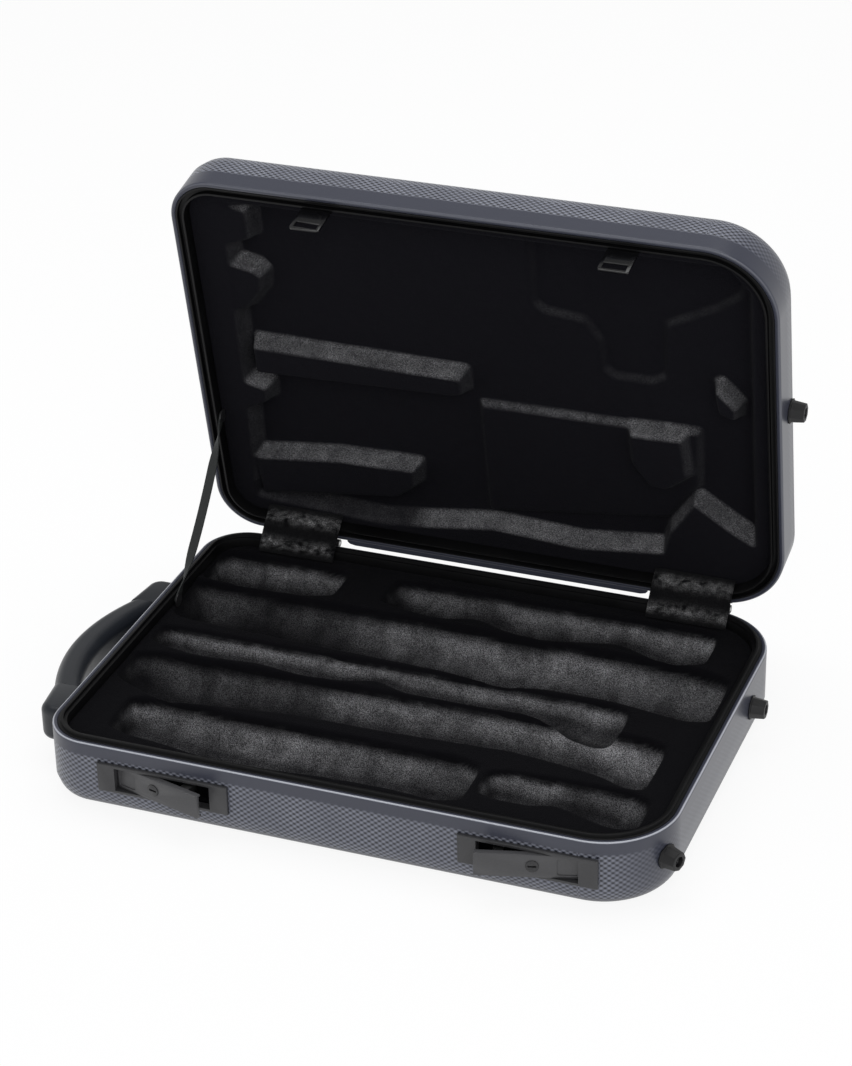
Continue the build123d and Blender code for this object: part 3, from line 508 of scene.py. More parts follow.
def sweepRound(name, profile, up):
    # carries a profile of (inset, depth) round the outline and closes its ends
    places, ways, run = caseOutline()
    rings = [(places - inset * ways, up * depth) for inset, depth in profile]
    points = [(x, y, z) for flat, z in rings for x, y in flat]
    uvs, low = [], 0.0
    for (a, b), (c, d) in zip(profile, profile[1:]):
        high = low + math.hypot(c - a, d - b)
        for left, right in zip(run, run[1:]):
            uvs += [(left, low), (right, low), (right, high), (left, high)]
        low = high
    for flat, z in (rings[0], rings[-1]):
        uvs += [(x, y) for x, y in flat]
    obj = makeMesh(name, points, tubeFaces(len(rings), len(places)), uvs=np.array(uvs) * 0.001)
    faceOutward(obj)
    return obj


shell = {
    "middle": (28, 20), "arcSteps": 10, "arcIn": 0.97, "bandMiddle": 0.6,
    "bandRings": (15, 13.5, 9.5, 8.0, 4.0, 2.2), "lipTurns": (0, 22, 45, 68, 90), "chamfer": 0.3,
    "fillets": (2, 6),
}


def shellProfile(depth, band):
    # from the middle of the outer face, over the rounded edge and up the wall
    # to the lip, then down the inner wall to the middle of the inner face
    wall, edge, lip, steps = case["wall"], case["edgeRound"], case["lipRound"], shell["arcSteps"]
    tilt = math.radians(case["draft"])
    drawn = (depth - band) * math.tan(tilt)
    profile = [(middle, depth) for middle in shell["middle"]] + [(drawn + edge, depth)]
    for k in range(1, steps):
        angle = math.radians(90) - (math.radians(90) - tilt) * k / steps
        inset = drawn + shell["arcIn"] * edge - edge * math.cos(angle)
        profile.append((inset, depth - edge + edge * math.sin(angle)))
    flat = shell["bandMiddle"] * band
    profile += [(0.0, band), (0.0, flat)] + [(0.0, down) for down in shell["bandRings"] if down < flat]
    for turn in map(math.radians, shell["lipTurns"]):
        profile.append((lip - lip * math.cos(turn), lip - lip * math.sin(turn)))
    small, large = shell["fillets"]
    profile += [(wall - shell["chamfer"], 0.0), (wall, shell["chamfer"]), (wall, depth - edge)]
    profile += [(wall + small, depth - wall - small), (wall + large, depth - wall)]
    return profile + [(shell["middle"][0], depth - wall)]


def insetOutline(x, y, inset):
    # half sizes and corner radius of the inset outline, and how far each point
    # is past the centres of the corners
    halfX, halfY = case["length"] / 2 - inset, case["width"] / 2 - inset
    radius = np.where(x > 0, case["rightCorner"] - inset, case["leftCorner"] - inset)
    return halfX, halfY, radius, np.abs(x) - (halfX - radius), np.abs(y) - (halfY - radius)


def edgeDistance(x, y, inset):
    # distance inward from the inset outline of the case
    halfX, halfY, radius, overX, overY = insetOutline(x, y, inset)
    past = np.hypot(np.maximum(overX, 0), np.maximum(overY, 0))
    return radius - past - np.minimum(np.maximum(overX, overY), 0)


marks = {
    "wallReach": 2.2, "faceReach": 2, "fadeIn": 1.5, "turnStart": 0.35, "turnRun": 0.55,
    "smoothShare": 0.88, "lipDepth": 0.5, "lipInsets": (0.3, 1.2),
}


def markShell(obj, depth, bandEdge, paintedLipHighlight):
    # how strongly the weave shows at each vertex: none on the smooth band at the rim and on the inner
    # side, and hardly any on the right wall. The lip is marked too, for a painted highlight along its top
    # edge
    spots = np.empty(len(obj.data.vertices) * 3)
    obj.data.vertices.foreach_get("co", spots)
    x, y, behind = spots.reshape(-1, 3).T
    behind, inset = np.abs(behind), edgeDistance(x, y, 0)
    overX, overY = (
        np.maximum(np.abs(v) - (size / 2 - case["rightCorner"]), 0)
        for v, size in ((x, case["length"]), (y, case["width"]))
    )
    rightward = np.where(x > 0, overX / np.maximum(np.hypot(overX, overY), 1e-6), 0)
    outer = (inset < marks["wallReach"]) | (behind > depth - marks["faceReach"])
    turned = np.clip((rightward - marks["turnStart"]) / marks["turnRun"], 0, 1)
    shown = np.where(outer, np.clip((behind - bandEdge) / marks["fadeIn"], 0, 1), 0)
    addAttribute(obj, "weave", shown * (1 - marks["smoothShare"] * turned))
    # the band that carries the painted lip highlight
    near, far = marks["lipInsets"]
    addAttribute(obj, "lip", paintedLipHighlight * ((behind < marks["lipDepth"]) & (inset > near) & (inset < far)))


# Cuts for latches and strikers; inward is measured from the front face
latches = {
    "windows": (-112.3, 118.8), "catches": (-94.5, 101.0), "level": 26.8,
    "window": {"size": (66.8, 14, 18.8), "inward": 1},
    "pocket": {"size": (70.4, 9.2, 22.4), "inward": 8.6},
    "notch": {"size": (21, 1.5, 30), "inward": 9},
    "slotHalf": {"base": 11.75, "lid": 11}, "slotReach": 13.1,
}


def cutBoxes(obj, runs, level, box, place=Matrix.Identity(4)):
    # cuts a box out of a piece at each x of runs
    bm = bmesh.new()
    for x in runs:
        cube = bmesh.ops.create_cube(bm, size=1.0)["verts"]
        spot = Matrix.Translation((x, frontFace + box["inward"], level))
        bmesh.ops.transform(bm, matrix=place @ spot @ Matrix.Diagonal((*box["size"], 1)), verts=cube)
    mesh = bpy.data.meshes.new("cutter")
    bm.to_mesh(mesh)
    bm.free()
    cutter = linkData("cutter", mesh)
    cut = obj.modifiers.new("cut", "BOOLEAN")
    cut.operation, cut.object, cut.solver = "DIFFERENCE", cutter, "EXACT"
    bakeModifiers(obj)
    bpy.data.objects.remove(cutter)


def makeShell(body, up, bandEdge, paintedLipHighlight):
    depth = case[body + "Depth"]
    obj = sweepRound(body + "Shell", shellProfile(depth, case[body + "Band"]), up)
    if body == "base":
        cutBoxes(obj, latches["windows"], latches["level"] - depth, latches["window"])
    markShell(obj, depth, bandEdge, paintedLipHighlight)
    obj.data.transform(rimPlace[body])
    shadeSmooth(obj, 50)
    dress(obj, body, "shell", shellMaterial, body + "_shell")


# the base's lip gets a full painted highlight, the lid's a faint one
makeShell("base", -1, 8.0, 1.0)
makeShell("lid", 1, 13.5, 0.15)

rearLip = {
    "reach": 104.0, "fade": 5.0, "shares": [0.12, 0.7, 1, 1, 1, 0.7, 0.12],
    "profile": [
        (-0.6, 0.2), (0, 0.2), (2.8, 0.0), (3.5, 0.6), (3.5, 2.6), (1.8, 5.0), (0, 7.0), (-0.6, 7.0),
    ],
}


def makeRearLip():
    # a raised lip along the rear wall of the lid, between the hinges
    reach, fade, profile = rearLip["reach"], rearLip["fade"], rearLip["profile"]
    runs = [-reach, -reach + 0.3 * fade, -reach + fade, 0, reach - fade, reach - 0.3 * fade, reach]
    points = []
    for x, share in zip(runs, rearLip["shares"]):
        points += [(x, case["width"] / 2 + (out * share if out > 0 else out), z) for out, z in profile]
    faces = tubeFaces(len(runs), len(profile))
    obj = makeMesh("lidRearLip", points, faces, lidPlace, np.zeros((sum(map(len, faces)), 2)))
    faceOutward(obj)
    for mask in ("weave", "lip"):
        addAttribute(obj, mask, [0.0] * len(points))
    shadeSmooth(obj, 40)
    dress(obj, "lid", "shell", shellMaterial)


makeRearLip()
print("shells made")


# Rims: a ring inside each shell's lip


def softCorners(points, radius=0.35, steps=2):
    # breaks the corners of a closed profile
    out = []
    count = len(points)
    for k in range(count):
        before, corner, after = (Vector(points[(k + j) % count]) for j in (-1, 0, 1))
        back, on = (before - corner), (after - corner)
        reach = min(radius, back.length * 0.4, on.length * 0.4)
        a, b = corner + back.normalized() * reach, corner + on.normalized() * reach
        for j in range(steps + 1):
            t = j / steps
            out.append(tuple((1 - t) ** 2 * a + 2 * t * (1 - t) * corner + t * t * b))
    return out


rimShapes = {
    # (inset, depth) seen in section; the base rim carries a tongue, the lid's a groove
    "base": [(3.15, 9), (3.15, 0), (5, 0), (5, -2.2), (7, -2.2), (7, 0), (9, 0), (9, 9)],
    "lid": [(3.15, 10), (3.15, 0), (4.5, 0), (4.5, 3.2), (7.5, 3.2), (7.5, 0), (9, 0), (9, 10)],
}


def makeRim(body, up):
    section = softCorners(rimShapes[body])
    count = len(section)
    edges = [(k, (k + 1) % count) for k in range(count)]
    points = [(-inset, -up * depth, 0) for inset, depth in section]
    obj = makeMesh(body + "Rim", points, edges=edges)
    runTree(obj, rimSweep, {
        "Length": float(case["length"]), "Width": float(case["width"]),
        "Left Corner": float(case["leftCorner"]), "Right Corner": float(case["rightCorner"]),
        "Corner Steps": case["cornerSteps"], "Material": rimMaterial,
    })
    obj.data.transform(rimPlace[body])
    faceOutward(obj)
    if body == "base":
        cutBoxes(obj, latches["catches"], case["baseDepth"], latches["notch"], basePlace)
    shadeSmooth(obj, 50)
    dress(obj, body, "rim", rimMaterial, body + "_rim")


makeRim("base", -1)
makeRim("lid", 1)
print("rims made")


# Linings: soft forms on a fine grid, level by level


def blurGrid(values, width):
    # even softening over the grid, width in cells
    reach = int(3 * width) + 1
    weights = np.exp(-0.5 * (np.arange(-reach, reach + 1) / width) ** 2)
    weights /= weights.sum()
    padded = np.pad(values, reach, mode="edge")
    rows = np.apply_along_axis(lambda line: np.convolve(line, weights, "same"), 0, padded)
    both = np.apply_along_axis(lambda line: np.convolve(line, weights, "same"), 1, rows)
    return both[reach:-reach, reach:-reach]


def slowNoise(shape, cells, seed):
    # smooth unevenness between -1 and 1, features of about so many cells
    rng = np.random.default_rng(seed)
    values = blurGrid(rng.standard_normal(shape), cells)
    return values / np.abs(values).max()


def outlineDistance(gridX, gridY, points):
    # distance to a closed outline, negative inside
    best = np.full(gridX.shape, 1e9)
    inside = np.zeros(gridX.shape, bool)
    for (x0, y0), (x1, y1) in zip(points, points[1:] + points[:1]):
        dx, dy = x1 - x0, y1 - y0
        t = np.clip(((gridX - x0) * dx + (gridY - y0) * dy) / (dx * dx + dy * dy), 0, 1)
        best = np.minimum(best, np.hypot(gridX - x0 - t * dx, gridY - y0 - t * dy))
        crosses = (y0 > gridY) != (y1 > gridY)
        with np.errstate(divide="ignore", invalid="ignore"):
            meets = gridX < dx * (gridY - y0) / dy + x0 if dy else np.zeros(gridX.shape, bool)
        inside ^= crosses & meets
    return np.where(inside, -best, best)


def clampToOutline(x, y, inset):
    # moves points outside the inset outline onto it
    halfX, halfY = insetOutline(x, y, inset)[:2]
    x, y = np.clip(x, -halfX, halfX), np.clip(y, -halfY, halfY)
    halfX, halfY, radius, overX, overY = insetOutline(x, y, inset)
    far = np.hypot(overX, overY)
    corner = (overX > 0) & (overY > 0) & (far > radius)
    scale = np.where(corner, radius / np.maximum(far, 1e-9), 1)
    x = np.where(corner, np.sign(x) * (halfX - radius + overX * scale), x)
    y = np.where(corner, np.sign(y) * (halfY - radius + overY * scale), y)
    return x, y, corner


def padGrid(step):
    halfX = case["length"] / 2 - case["liningInset"]
    halfY = case["width"] / 2 - case["liningInset"]
    xs = np.linspace(-halfX, halfX, int(2 * halfX / step) + 1)
    ys = np.linspace(-halfY, halfY, int(2 * halfY / step) + 1)
    return np.meshgrid(xs, ys, indexing="ij")


def makeLining(body, heights, bottom, nap):
    # closed block whose top is the grid
    placeX, placeY, corner = clampToOutline(gridX, gridY, case["liningInset"])
    quads = gridQuads(np.arange(gridX.size).reshape(gridX.shape))
    quads = quads[~corner.ravel()[quads].all(1)]
    points = np.stack([placeX, placeY, heights], -1).reshape(-1, 3)
    obj = makeMesh(body + "Lining", points, quads)
    addAttribute(obj, "nap", nap)
    bm = bmesh.new()
    bm.from_mesh(obj.data)
    bmesh.ops.delete(bm, geom=[v for v in bm.verts if not v.link_faces], context="VERTS")
    edge = [e for e in bm.edges if e.is_boundary]
    skirt = bmesh.ops.extrude_edge_only(bm, edges=edge)["geom"]
    for vert in [g for g in skirt if isinstance(g, bmesh.types.BMVert)]:
        vert.co.z = bottom
    bmesh.ops.contextual_create(bm, geom=[g for g in skirt if isinstance(g, bmesh.types.BMEdge)])
    bmesh.ops.recalc_face_normals(bm, faces=bm.faces)
    bmesh.ops.transform(bm, matrix=bodyPlace[body], verts=bm.verts)
    bm.to_mesh(obj.data)
    bm.free()
    shadeSmooth(obj, 60)
    return obj


gridStep = 1.0
gridX, gridY = padGrid(gridStep)


def inSlot(body, x):
    # the way of a catch or a striker through a lining
    return (np.abs(gridX - x) < latches["slotHalf"][body]) & (gridY < frontFace + latches["slotReach"])


tray = {
    "ridge": 41.0, "crown": 5.0, "floor": 8.0, "soften": 1.7, "bottom": 3.4,
    # where the painted sheen on the pile is strong along each trough, partly from brushed pile, as (x,
    # strength)
    "brushedSheen": [
        [(-188, 0.4), (-182, 1.1), (-160, 1.1), (-154, 0.3), (-149, 1.1), (-97, 0.9)],
        [(-58, 0.2), (-44, 0.9), (60, 0.9), (100, 1.2), (157, 1.3)],
        [(-185, 0.1), (-172, 0.45), (-130, 0.2), (-80, 0.3), (-45, 0.95),
         (20, 1.2), (120, 1.3), (132, 0.85), (178, 0.9)],
        [(-180, 0.2), (-170, 0.9), (-120, 1.2), (-20, 1.3), (60, 0.9),
         (90, 0.8), (105, 1.4), (131, 1.1)],
        [(-182, 0.15), (-150, 0.5), (-110, 0.25), (-80, 0.45), (-62, 0.3),
         (-52, 1.0), (115, 1.15), (130, 1.5), (163, 1.5)],
        [(-161, 0.9), (-90, 1.1), (20, 1.0), (65, 0.7)],
        [(60, 0.2), (64, 1.0), (73, 0.9), (76, 0.3), (79, 1.1),
         (121, 1.1), (126, 0.3), (142, 0.95), (171, 0.95)],
    ],
    # each trough: its joints from left to right as (x, y, half width)
    "troughs": [
        [(-188, 99, 13), (-182, 99, 17), (-150, 98, 18), (-110, 99, 18), (-95, 100, 13)],
        [(-58, 102, 11), (-46, 101, 15), (-17, 99, 17), (7, 103, 13), (30, 98, 18), (56, 97, 19),
         (103, 102, 13), (128, 97, 19), (148, 97, 20), (157, 98, 15)],
        [(-185, 55, 17), (-176, 53, 23), (-120, 50, 23), (-60, 49, 24), (5, 48, 25), (50, 45, 27),
         (75, 48, 25), (120, 48, 25), (150, 45, 27), (170, 42, 27), (178, 42, 22)],
        [(-180, 6, 7), (-170, 4, 10), (-144, 2, 12), (-106, 4, 10), (-78, 2, 12), (-50, 3, 12),
         (-26, 7, 8), (-8, 3, 12), (36, 3, 12), (75, 3, 11), (100, 0, 14), (122, -1, 16), (131, -2, 11)],
        [(-182, -36, 12), (-172, -36, 18), (-146, -41, 24), (-106, -38, 22), (-60, -35, 19), (0, -35, 19),
         (79, -32, 18), (113, -34, 20), (140, -37, 22), (158, -42, 26), (163, -42, 21)],
        [(-161, -88, 14), (-152, -88, 19), (-124, -89, 21), (-94, -93, 22.5), (-54, -93, 22.5),
         (-16, -91, 21), (21, -91, 20), (56, -92, 22), (65, -92, 16)],
        [(74, -88, 9), (82, -88, 13), (107, -88, 14), (121, -84, 11), (142, -88, 15),
         (162, -91, 18), (171, -91, 12)],
    ],
}


def trayHeights():
    # the top of the tray, how strong the painted sheen on the pile is there, partly from brushed pile,
    # and how far down from the ridges the painted light reaches
    heights = np.full(gridX.shape, tray["ridge"])
    strength, reach = np.zeros(gridX.shape), np.full(gridX.shape, 12.0)
    line = gridX[:, 0]
    soft = np.exp(-0.5 * (np.arange(-12, 13) / 5.0) ** 2)
    soft /= soft.sum()
    for trough, brushedSheen in zip(tray["troughs"], tray["brushedSheen"]):
        xs, ys, halves = (np.array(v, float) for v in zip(*trough))
        middle, half = (
            np.convolve(np.pad(np.interp(line, xs, v), 12, mode="edge"), soft, "valid")
            for v in (ys, halves)
        )
        middle = middle[:, None]
        half = np.where((line > xs[0]) & (line < xs[-1]), half, 0.0)[:, None]
        level = np.maximum(tray["ridge"] - tray["crown"], tray["floor"] + half)
        across = np.abs(gridY - middle)
        bowl = level - np.sqrt(np.maximum(half ** 2 - across ** 2, 0))
        heights = np.where(across < half, np.minimum(heights, bowl), heights)
        along = np.interp(line, *(np.array(v, float) for v in zip(*brushedSheen)))[:, None]
        # painted light: the far side of each trough, which faces the front, is lit more than the near
        # side
        rear = np.where(gridY > middle, 1.0, 0.35)
        strength = np.where(across < half + 1.5, along * rear, strength)
        reach = np.where(across < half + 1.5, np.maximum(1.1 * half, 5.0), reach)
    openShare = np.clip((edgeDistance(gridX, gridY, case["liningInset"]) - 1.0) / 4.0, 0, 1)
    heights = tray["ridge"] + (heights - tray["ridge"]) * openShare
    heights = blurGrid(heights, tray["soften"] / gridStep)
    heights = heights + 0.35 * slowNoise(heights.shape, 9, 3) + 0.12 * slowNoise(heights.shape, 3, 5)
    for x in latches["catches"]:
        heights = np.where(inSlot("base", x), latches["level"], heights)
    return heights, blurGrid(strength, 1.5 / gridStep), blurGrid(reach, 4 / gridStep)


trayTop, strength, reach = trayHeights()
# painted light on the pile: lightest some way below the ridges, in uneven patches
waves = 4.5 * slowNoise(trayTop.shape, 8, 7) + 1.6 * slowNoise(trayTop.shape, 2, 8)
below = (tray["ridge"] - trayTop + waves) / reach
under = np.clip((below - 0.2) / 0.3, 0, 1)
deep = np.clip((below - 0.55) / 0.45, 0, 1)
patches = 0.85 + 1.5 * slowNoise(trayTop.shape, 11, 9) + 0.6 * slowNoise(trayTop.shape, 4, 10)
patches = np.clip(patches, 0.08, 1.3)
nap = np.clip(under ** 2 * (3 - 2 * under) * (1 - 0.85 * deep) * strength * patches, 0, 1.6)
baseLining = makeLining("base", trayTop, tray["bottom"], nap)
cutBoxes(baseLining, latches["windows"], latches["level"], latches["pocket"], basePlace)
shadeSmooth(baseLining, 60)
dress(baseLining, "base", "lining", trayPlush, "base_lining")
print("tray lining made", len(baseLining.data.polygons))

lidPad = {
    "ledge": 8.0, "floor": 22.0, "padTop": 9.0, "stepTop": 17.0, "bedFloor": 27.0,
    "slope": 2.4, "soften": 1.3, "back": 36.5, "strikerWay": 10.2,
    "recess": [
        (161, -118), (175, -102), (174, 92), (158, 82), (135, 65), (118, 91), (113, 109), (57, 116),
        (-3, 112), (-47, 119), (-80, 123), (-170, 117), (-166, 44), (-152, 36), (-151, 25), (-166, 21),
        (-163, -86), (-147, -92), (-147, -114), (-165, -118),
    ],
    "bellBed": [
        (159, -116), (171, -105), (166, -88), (150, -76), (118, -59), (117, -20), (107, -14), (82, -14),
        (75, -20), (74, -40), (65, -54), (39, -57), (32, -63), (33, -116),
    ],
    "stepShelf": [(-8, 17), (93, 16), (139, 14), (138, 59), (132, 65), (116, 89), (-8, 107)],
    "pads": [
        [(-167, -74), (-147, -70), (-141, -64), (-143, -51), (-156, -34), (-168, -32)],
        [(-160, -10), (-13, -8), (-13, 10), (-23, 12), (-149, 16), (-160, 16)],
        [(-169, 82), (-107, 74), (-51, 73), (-53, 91), (-67, 103), (-168, 117)],
        [(148, -25), (153, -28), (167, -13), (165, 0), (150, -6)],
        [(92, 16), (130, 15), (133, 48), (117, 61), (105, 60), (93, 43)],
    ],
}


def lidHeights():
    # depth behind the lid's rim, so a pad is a smaller number
    def inside(points):
        return np.clip(-outlineDistance(gridX, gridY, points) / lidPad["slope"], 0, 1)

    depth = lidPad["ledge"] + (lidPad["floor"] - lidPad["ledge"]) * inside(lidPad["recess"])
    shelf = inside(lidPad["stepShelf"])
    depth = np.where(depth > lidPad["stepTop"], depth + (lidPad["stepTop"] - depth) * shelf, depth)
    bed = inside(lidPad["bellBed"])
    depth = depth + (lidPad["bedFloor"] - lidPad["floor"]) * bed
    for pad in lidPad["pads"]:
        raised = inside(pad)
        depth = np.where(depth > lidPad["padTop"], depth + (lidPad["padTop"] - depth) * raised, depth)
    depth = blurGrid(depth, lidPad["soften"] / gridStep)
    depth = depth + 0.2 * slowNoise(depth.shape, 10, 11) + 0.08 * slowNoise(depth.shape, 3, 13)
    for x in latches["catches"]:
        depth = np.where(inSlot("lid", x), np.maximum(depth, lidPad["strikerWay"]), depth)
    return depth


lidTop = lidHeights()
slopeX, slopeY = np.gradient(lidTop, gridStep)
steep = np.hypot(slopeX, slopeY)
wayX, wayY = slopeX / np.maximum(steep, 1e-6), slopeY / np.maximum(steep, 1e-6)
# light falls on slopes that face up in the open lid, less inside the bell's bed
lit = 1.1 * np.maximum(-wayY, 0) ** 1.5 + 0.16 * np.maximum(wayX, 0) + 0.05 * np.maximum(-wayX, 0)
inBed = np.abs(outlineDistance(gridX, gridY, lidPad["bellBed"])) < 4
lit *= np.where(inBed, 0.22, 1.0)
lit *= np.where(gridY > 105, 0.2 + 0.8 * np.clip((gridX + 62) / 14, 0, 1), 1.0)
# the mask is painted light on the lid's pile, strongest on the lit slopes
nap = np.clip((steep - 0.3) / 1.4, 0, 1) * lit * (0.8 + 0.35 * slowNoise(steep.shape, 12, 17))
lidLining = makeLining("lid", lidTop, lidPad["back"], nap)
dress(lidLining, "lid", "lining", lidPlush, "lid_lining")
print("lid lining made", len(lidLining.data.polygons))


# Latches, locks, strikers and hinges


sidedCopies = [
    # node without its side, body, slot, material and width of its broken edges
    ("latch_plate", "base", "latch", latchCoat, 0.25),
    ("latch_lever", "lever_", "latch", leverCoat, 0.2),
    ("latch_catch", "lever_", "steel", plainSteel, 0.15),
    ("latch_spring", "base", "steel", plainSteel, 0.05),
    ("latch_pin", "base", "steel", plainSteel, 0.1),
    ("lock_cylinder", "lock_", "lock", lockMetal, 0.12),
    ("lock_cam", "lock_", "steel", plainSteel, 0.1),
    ("striker", "lid", "dark_metal", strikerCoat, 0.35),
    ("hinge_leaf_base", "base", "dark_metal", darkMetal, 0.2),
    ("hinge_leaf_lid", "lid", "dark_metal", darkMetal, 0.2),
    ("hinge_pin", "base", "steel", plainSteel, 0.1),
]
for side in ("left", "right"):
    for node, body, *look in sidedCopies:
        copyNode(node + "_" + side, body + side if body.endswith("_") else body, *look)

# each height is the (y, z) of the pins' feet on their body
rivets = {"baseHeight": (134, 33.15), "lidHeight": (134, 13.85), "spacing": 17}
rivetSizes = {"Shank Radius": 1.2, "Shank Length": 4.0, "Head Radius": 2.4, "Head Height": 0.9}
screws = {"height": (-132, 6.35), "spacing": 4.875}
screwSizes = {"Shank Radius": 1.6, "Shank Length": 5.2, "Head Radius": 2.5, "Head Height": 0.9}
hingeX = case["length"] / 2 - case["hingeInset"]
rivetX = [side * hingeX + step * rivets["spacing"] for side in (-1, 1) for step in (-1, 0, 1)]
screwX = [x + step * screws["spacing"] for x in latches["catches"] for step in (-1, 1)]
makePins("base_hinge_rivets", rivetX, rivets["baseHeight"], "base", plainSteel, rivetSizes)
makePins("lid_hinge_rivets", rivetX, rivets["lidHeight"], "lid", plainSteel, rivetSizes)
makePins("striker_screws", screwX, screws["height"], "lid", darkMetal, screwSizes)
print("latches and hinges made")


# Handle, feet, strap anchors

copyNode("handle_grip", "base", "grip", gripPlastic, 0)
for end in ("front", "rear"):
    copyNode("handle_bracket_" + end, "base", "grip", gripPlastic, 0.4, 3)
    copyNode("base_foot_" + end, "base", "feet", footRubber, 0.5, 3)
copyNode("lid_foot", "lid", "feet", footRubber, 0.5, 3)
copyNode("handle_screws", "base", "steel", plainSteel, 0.1)
copyNode("base_foot_screws", "base", "steel", darkMetal, 0.15)
copyNode("lid_foot_screw", "lid", "steel", darkMetal, 0.15)
copyNode("strap_anchor_base", "base", "dark_metal", darkMetal, 0.2)
copyNode("strap_anchor_lid", "lid", "dark_metal", darkMetal, 0.2)
print("handle and feet made")


# Stay strap and hinge covers, shaped from the base to the open lid


def lidSpot(y, z):
    spot = lidPlace @ Vector((0, y, z)) * 1000
    return (spot.y, spot.z)


strap = {
    "x": -185.4, "sway": 2.9, "turnShare": 0.3, "turn": 80, "thick": 1.0, "width": 6.5,
    "base": (45.0, 42.0), "lid": lidSpot(50.0, 5.0), "steps": 90,
    # section as (thickness, width) shares, its edges thinner than its middle
    "section": ((-0.75, -1), (-1, 0), (-0.75, 1), (0.75, 1), (1, 0), (0.75, -1)),
}


def makeStrap():
    start, end = Vector(strap["base"]), Vector(strap["lid"])
    length, along = (end - start).length, (end - start).normalized()
    across = Vector((-along.y, along.x))
    half, thick = strap["width"] / 2, strap["thick"] / 2
    points = []
    for k in range(strap["steps"] + 1):
        run = -half + (length + 2 * half) * k / strap["steps"]
        tuck = max(0.0, -run, run - length)
        wide = math.sqrt(max(half ** 2 - tuck ** 2, 0.04))
        middle = start + along * run
        # flat on the rims at its ends and turned edge on between them
        share = min(max(min(run, length - run) / (strap["turnShare"] * length), 0), 1)
        turn = math.radians(strap["turn"]) * (share * share * (3 - 2 * share))
        sway = strap["sway"] * math.sin(math.pi * min(max(run / length, 0), 1)) ** 0.7
        for deep, broad in strap["section"]:
            flat, edge = wide * broad, thick * deep
            spot = middle + across * (flat * math.cos(turn) - edge * math.sin(turn))
            sideways = flat * math.sin(turn) + edge * math.cos(turn)
            points.append((strap["x"] + sway + sideways, spot.x, spot.y))
    faces = tubeFaces(strap["steps"] + 1, len(strap["section"]))
    obj = makeMesh("stayStrap", points, faces, basePlace)
    faceOutward(obj)
    shadeSmooth(obj, 60)
    obj.data.materials.append(strapWeb)
    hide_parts("stay_strap")
    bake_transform(obj)


makeStrap()

# the path runs from the tray over both rims to the lid's lining
cover = {
    "width": 53.0, "length": 35.0, "spacing": 134.5, "thick": 1.6, "steps": 36, "columns": 40,
    "path": [(122, 41.9), (125.6, 47.9), lidSpot(125.6, -0.9), lidSpot(122, 7.1)], "roll": 1.5,
}


def makeCover(name, centre):
    # two layers along a smooth line, with two soft rolls and a crease between
    a, b, c, d = (Vector(p) for p in cover["path"])
    steps, columns = cover["steps"], cover["columns"]
    line = []
    for t in (k / steps for k in range(steps + 1)):
        line.append((1 - t) ** 3 * a + 3 * t * (1 - t) ** 2 * b + 3 * t * t * (1 - t) * c + t ** 3 * d)
    points, coverHighlights = [], []
    rng = np.random.default_rng(int(centre) + 500)
    random = rng.standard_normal((columns + 1, steps + 1))
    wobble, streaks = blurGrid(random, 3), blurGrid(random[::-1], 0.7)
    wobble, streaks = wobble / np.abs(wobble).max(), streaks / np.abs(streaks).max()
    for layer in (1, -1):
        for i in range(columns + 1):
            across = i / columns
            tuck = 1 - (2 * across - 1) ** 8
            for k, spot in enumerate(line):
                wave = abs(math.sin(2 * math.pi * k / steps))
                along = line[min(k + 1, steps)] - line[max(k - 1, 0)]
                out = Vector((-along.y, along.x)).normalized()
                high = cover["thick"] / 2 * (0.35 + 0.65 * tuck)
                if layer == 1:
                    high += (cover["roll"] * wave + 0.35 * wobble[i, k]) * tuck
                place = spot + out * high * layer
                points.append((centre + (across - 0.5) * cover["width"], place.x, place.y))
                # painted highlight on the tops of the rolls, streaked, and none in the crease between
                # them
                brushedSheen = 0.42 + 0.5 * wobble[i, k] + 0.7 * streaks[i, k]
                coverHighlights.append(max(0.0, min(1.0, brushedSheen * wave ** 4 + 0.02)))
    rows, cols = columns + 1, steps + 1
    far = rows * cols
    faces = gridQuads(np.arange(2 * far).reshape(2, rows, cols)).tolist()
    sides = [(i * cols + k, cols) for i in range(rows - 1) for k in (0, cols - 1)]
    sides += [(i * cols + k, 1) for k in range(cols - 1) for i in (0, rows - 1)]
    faces += [(a, a + step, a + step + far, a + far) for a, step in sides]
    obj = makeMesh(name, points, faces, basePlace)
    faceOutward(obj)
    addAttribute(obj, "nap", coverHighlights)
    shadeSmooth(obj, 70)
    return obj


for side, sign in (("left", -1), ("right", 1)):
    centre = sign * cover["spacing"]
    hingeCover = makeCover("hingeCover_" + side, centre)
    hingeCover.data.materials.append(coverPlush)
    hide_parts("hinge_cover_" + side)
    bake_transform(hingeCover)
print("strap and covers made")


# Studio: floor, lamps, world and camera


def mixSeen(tree, share, lighting, shown, output):
    # the camera and glossy surfaces see shown in this share, all else lighting
    path = addNode(tree, "ShaderNodeLightPath").outputs
    seen = mathNode(tree, "MAXIMUM", path["Is Camera Ray"], path["Is Glossy Ray"])
    wires = {0: mathNode(tree, "MULTIPLY", seen, share), 1: lighting, 2: shown}
    addNode(tree, output, {"Surface": firstOut(tree, "ShaderNodeMixShader", wires)})


def makeFloor():
    corners = [(x, y, -0.0005) for x, y in ((-5, -5), (5, -5), (5, 7), (-5, 7))]
    obj = makeMesh("floor", corners, [(0, 1, 2, 3)])
    material, tree = newMaterial("floorPaper")[:2]
    tree.nodes.clear()
    paper = firstOut(tree, "ShaderNodeBsdfDiffuse", {"Color": (0.86, 0.86, 0.87, 1)})
    glow = firstOut(tree, "ShaderNodeEmission", {"Strength": 1.04})
    mixSeen(tree, 0.86, paper, glow, "ShaderNodeOutputMaterial")
    obj.data.materials.append(material)


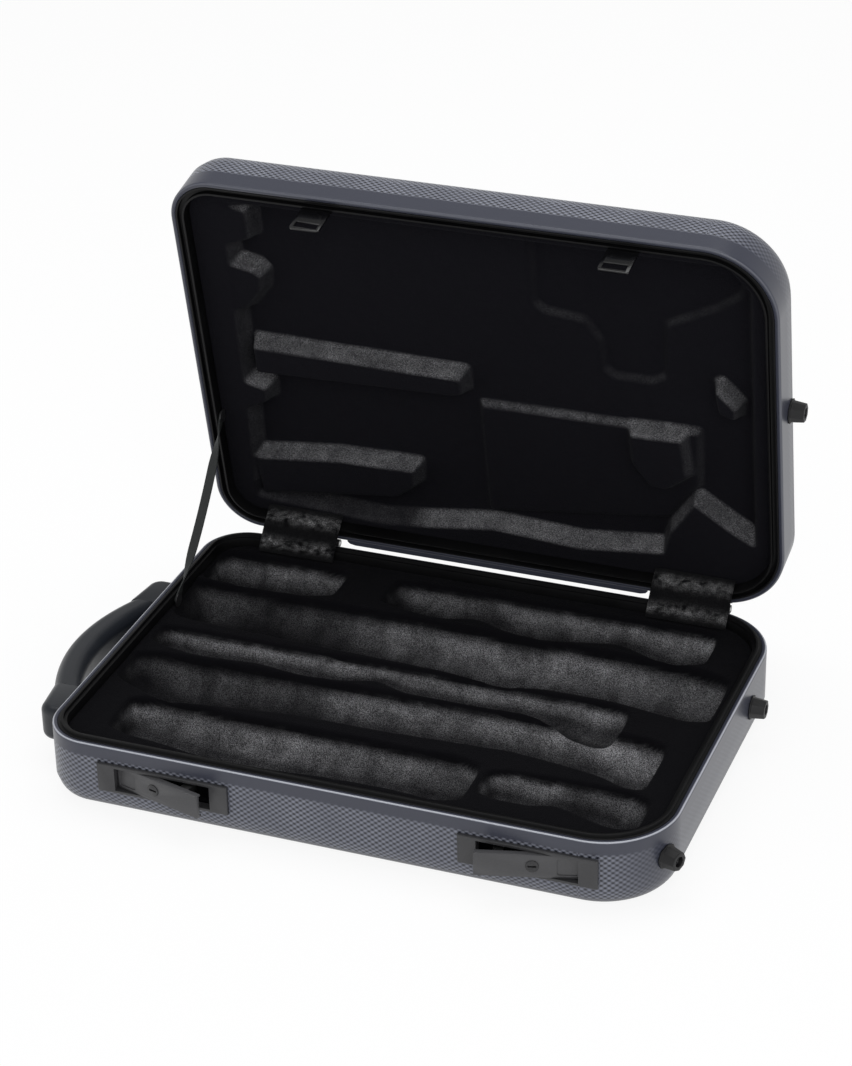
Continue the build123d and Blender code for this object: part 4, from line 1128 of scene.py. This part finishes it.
def makeWorld():
    world = bpy.data.worlds.new("studio")
    bpy.context.scene.world = world
    world.use_nodes = True
    tree = world.node_tree
    tree.nodes.clear()
    way = addNode(tree, "ShaderNodeTexCoord").outputs["Generated"]
    height = addNode(tree, "ShaderNodeSeparateXYZ", {0: way}).outputs[2]
    level = mapRange(tree, height, 0.15, 0.8, 1.0, 0.25)
    soft, bright = (firstOut(tree, "ShaderNodeBackground", {"Strength": v}) for v in (0.55, level))
    mixSeen(tree, 1.0, soft, bright, "ShaderNodeOutputWorld")


def aimAt(place, target):
    return (Vector(target) - Vector(place)).to_track_quat("-Z", "Y")


lamps = {
    "overhead": {"place": (-0.1, 0.3, 1.9), "target": (0, 0.05, 0.1), "size": (1.6, 1.2), "power": 14},
    "front": {"place": (0.9, -1.7, 1.5), "target": (0, 0, 0.1), "size": (1.2, 1.2), "power": 12},
}


def makeLamp(name, settings):
    lamp = bpy.data.lights.new(name, "AREA")
    lamp.shape = "RECTANGLE"
    lamp.size, lamp.size_y = settings["size"]
    lamp.energy = settings["power"]
    obj = linkData(name, lamp)
    obj.location = settings["place"]
    obj.rotation_mode = "QUATERNION"
    obj.rotation_quaternion = aimAt(settings["place"], settings["target"])


camera = {
    "turn": 21.285, "height": 28.902, "roll": -1.251, "distance": 1.83644,
    "target": (0.00652, 0.0, 0.148824), "lens": 103.314,
}


def makeCamera():
    turn, height, roll = (math.radians(camera[key]) for key in ("turn", "height", "roll"))
    level = math.cos(height)
    back = Vector((math.sin(turn) * level, -math.cos(turn) * level, math.sin(height)))
    right = Vector((math.cos(turn), math.sin(turn), 0))
    up = back.cross(right)
    rightRolled = math.cos(roll) * right + math.sin(roll) * up
    upRolled = -math.sin(roll) * right + math.cos(roll) * up
    data = bpy.data.cameras.new("camera")
    data.lens, data.sensor_width, data.sensor_fit = camera["lens"], 36, "AUTO"
    data.clip_start, data.clip_end = 0.05, 30
    obj = linkData("camera", data)
    turned = Matrix((rightRolled, upRolled, back)).transposed().to_4x4()
    obj.matrix_world = Matrix.Translation(Vector(camera["target"]) + back * camera["distance"]) @ turned
    bpy.context.scene.camera = obj


makeFloor()
makeWorld()
for name, settings in lamps.items():
    makeLamp(name, settings)
makeCamera()
bpy.context.scene.view_settings.view_transform = "Standard"
print("studio made")
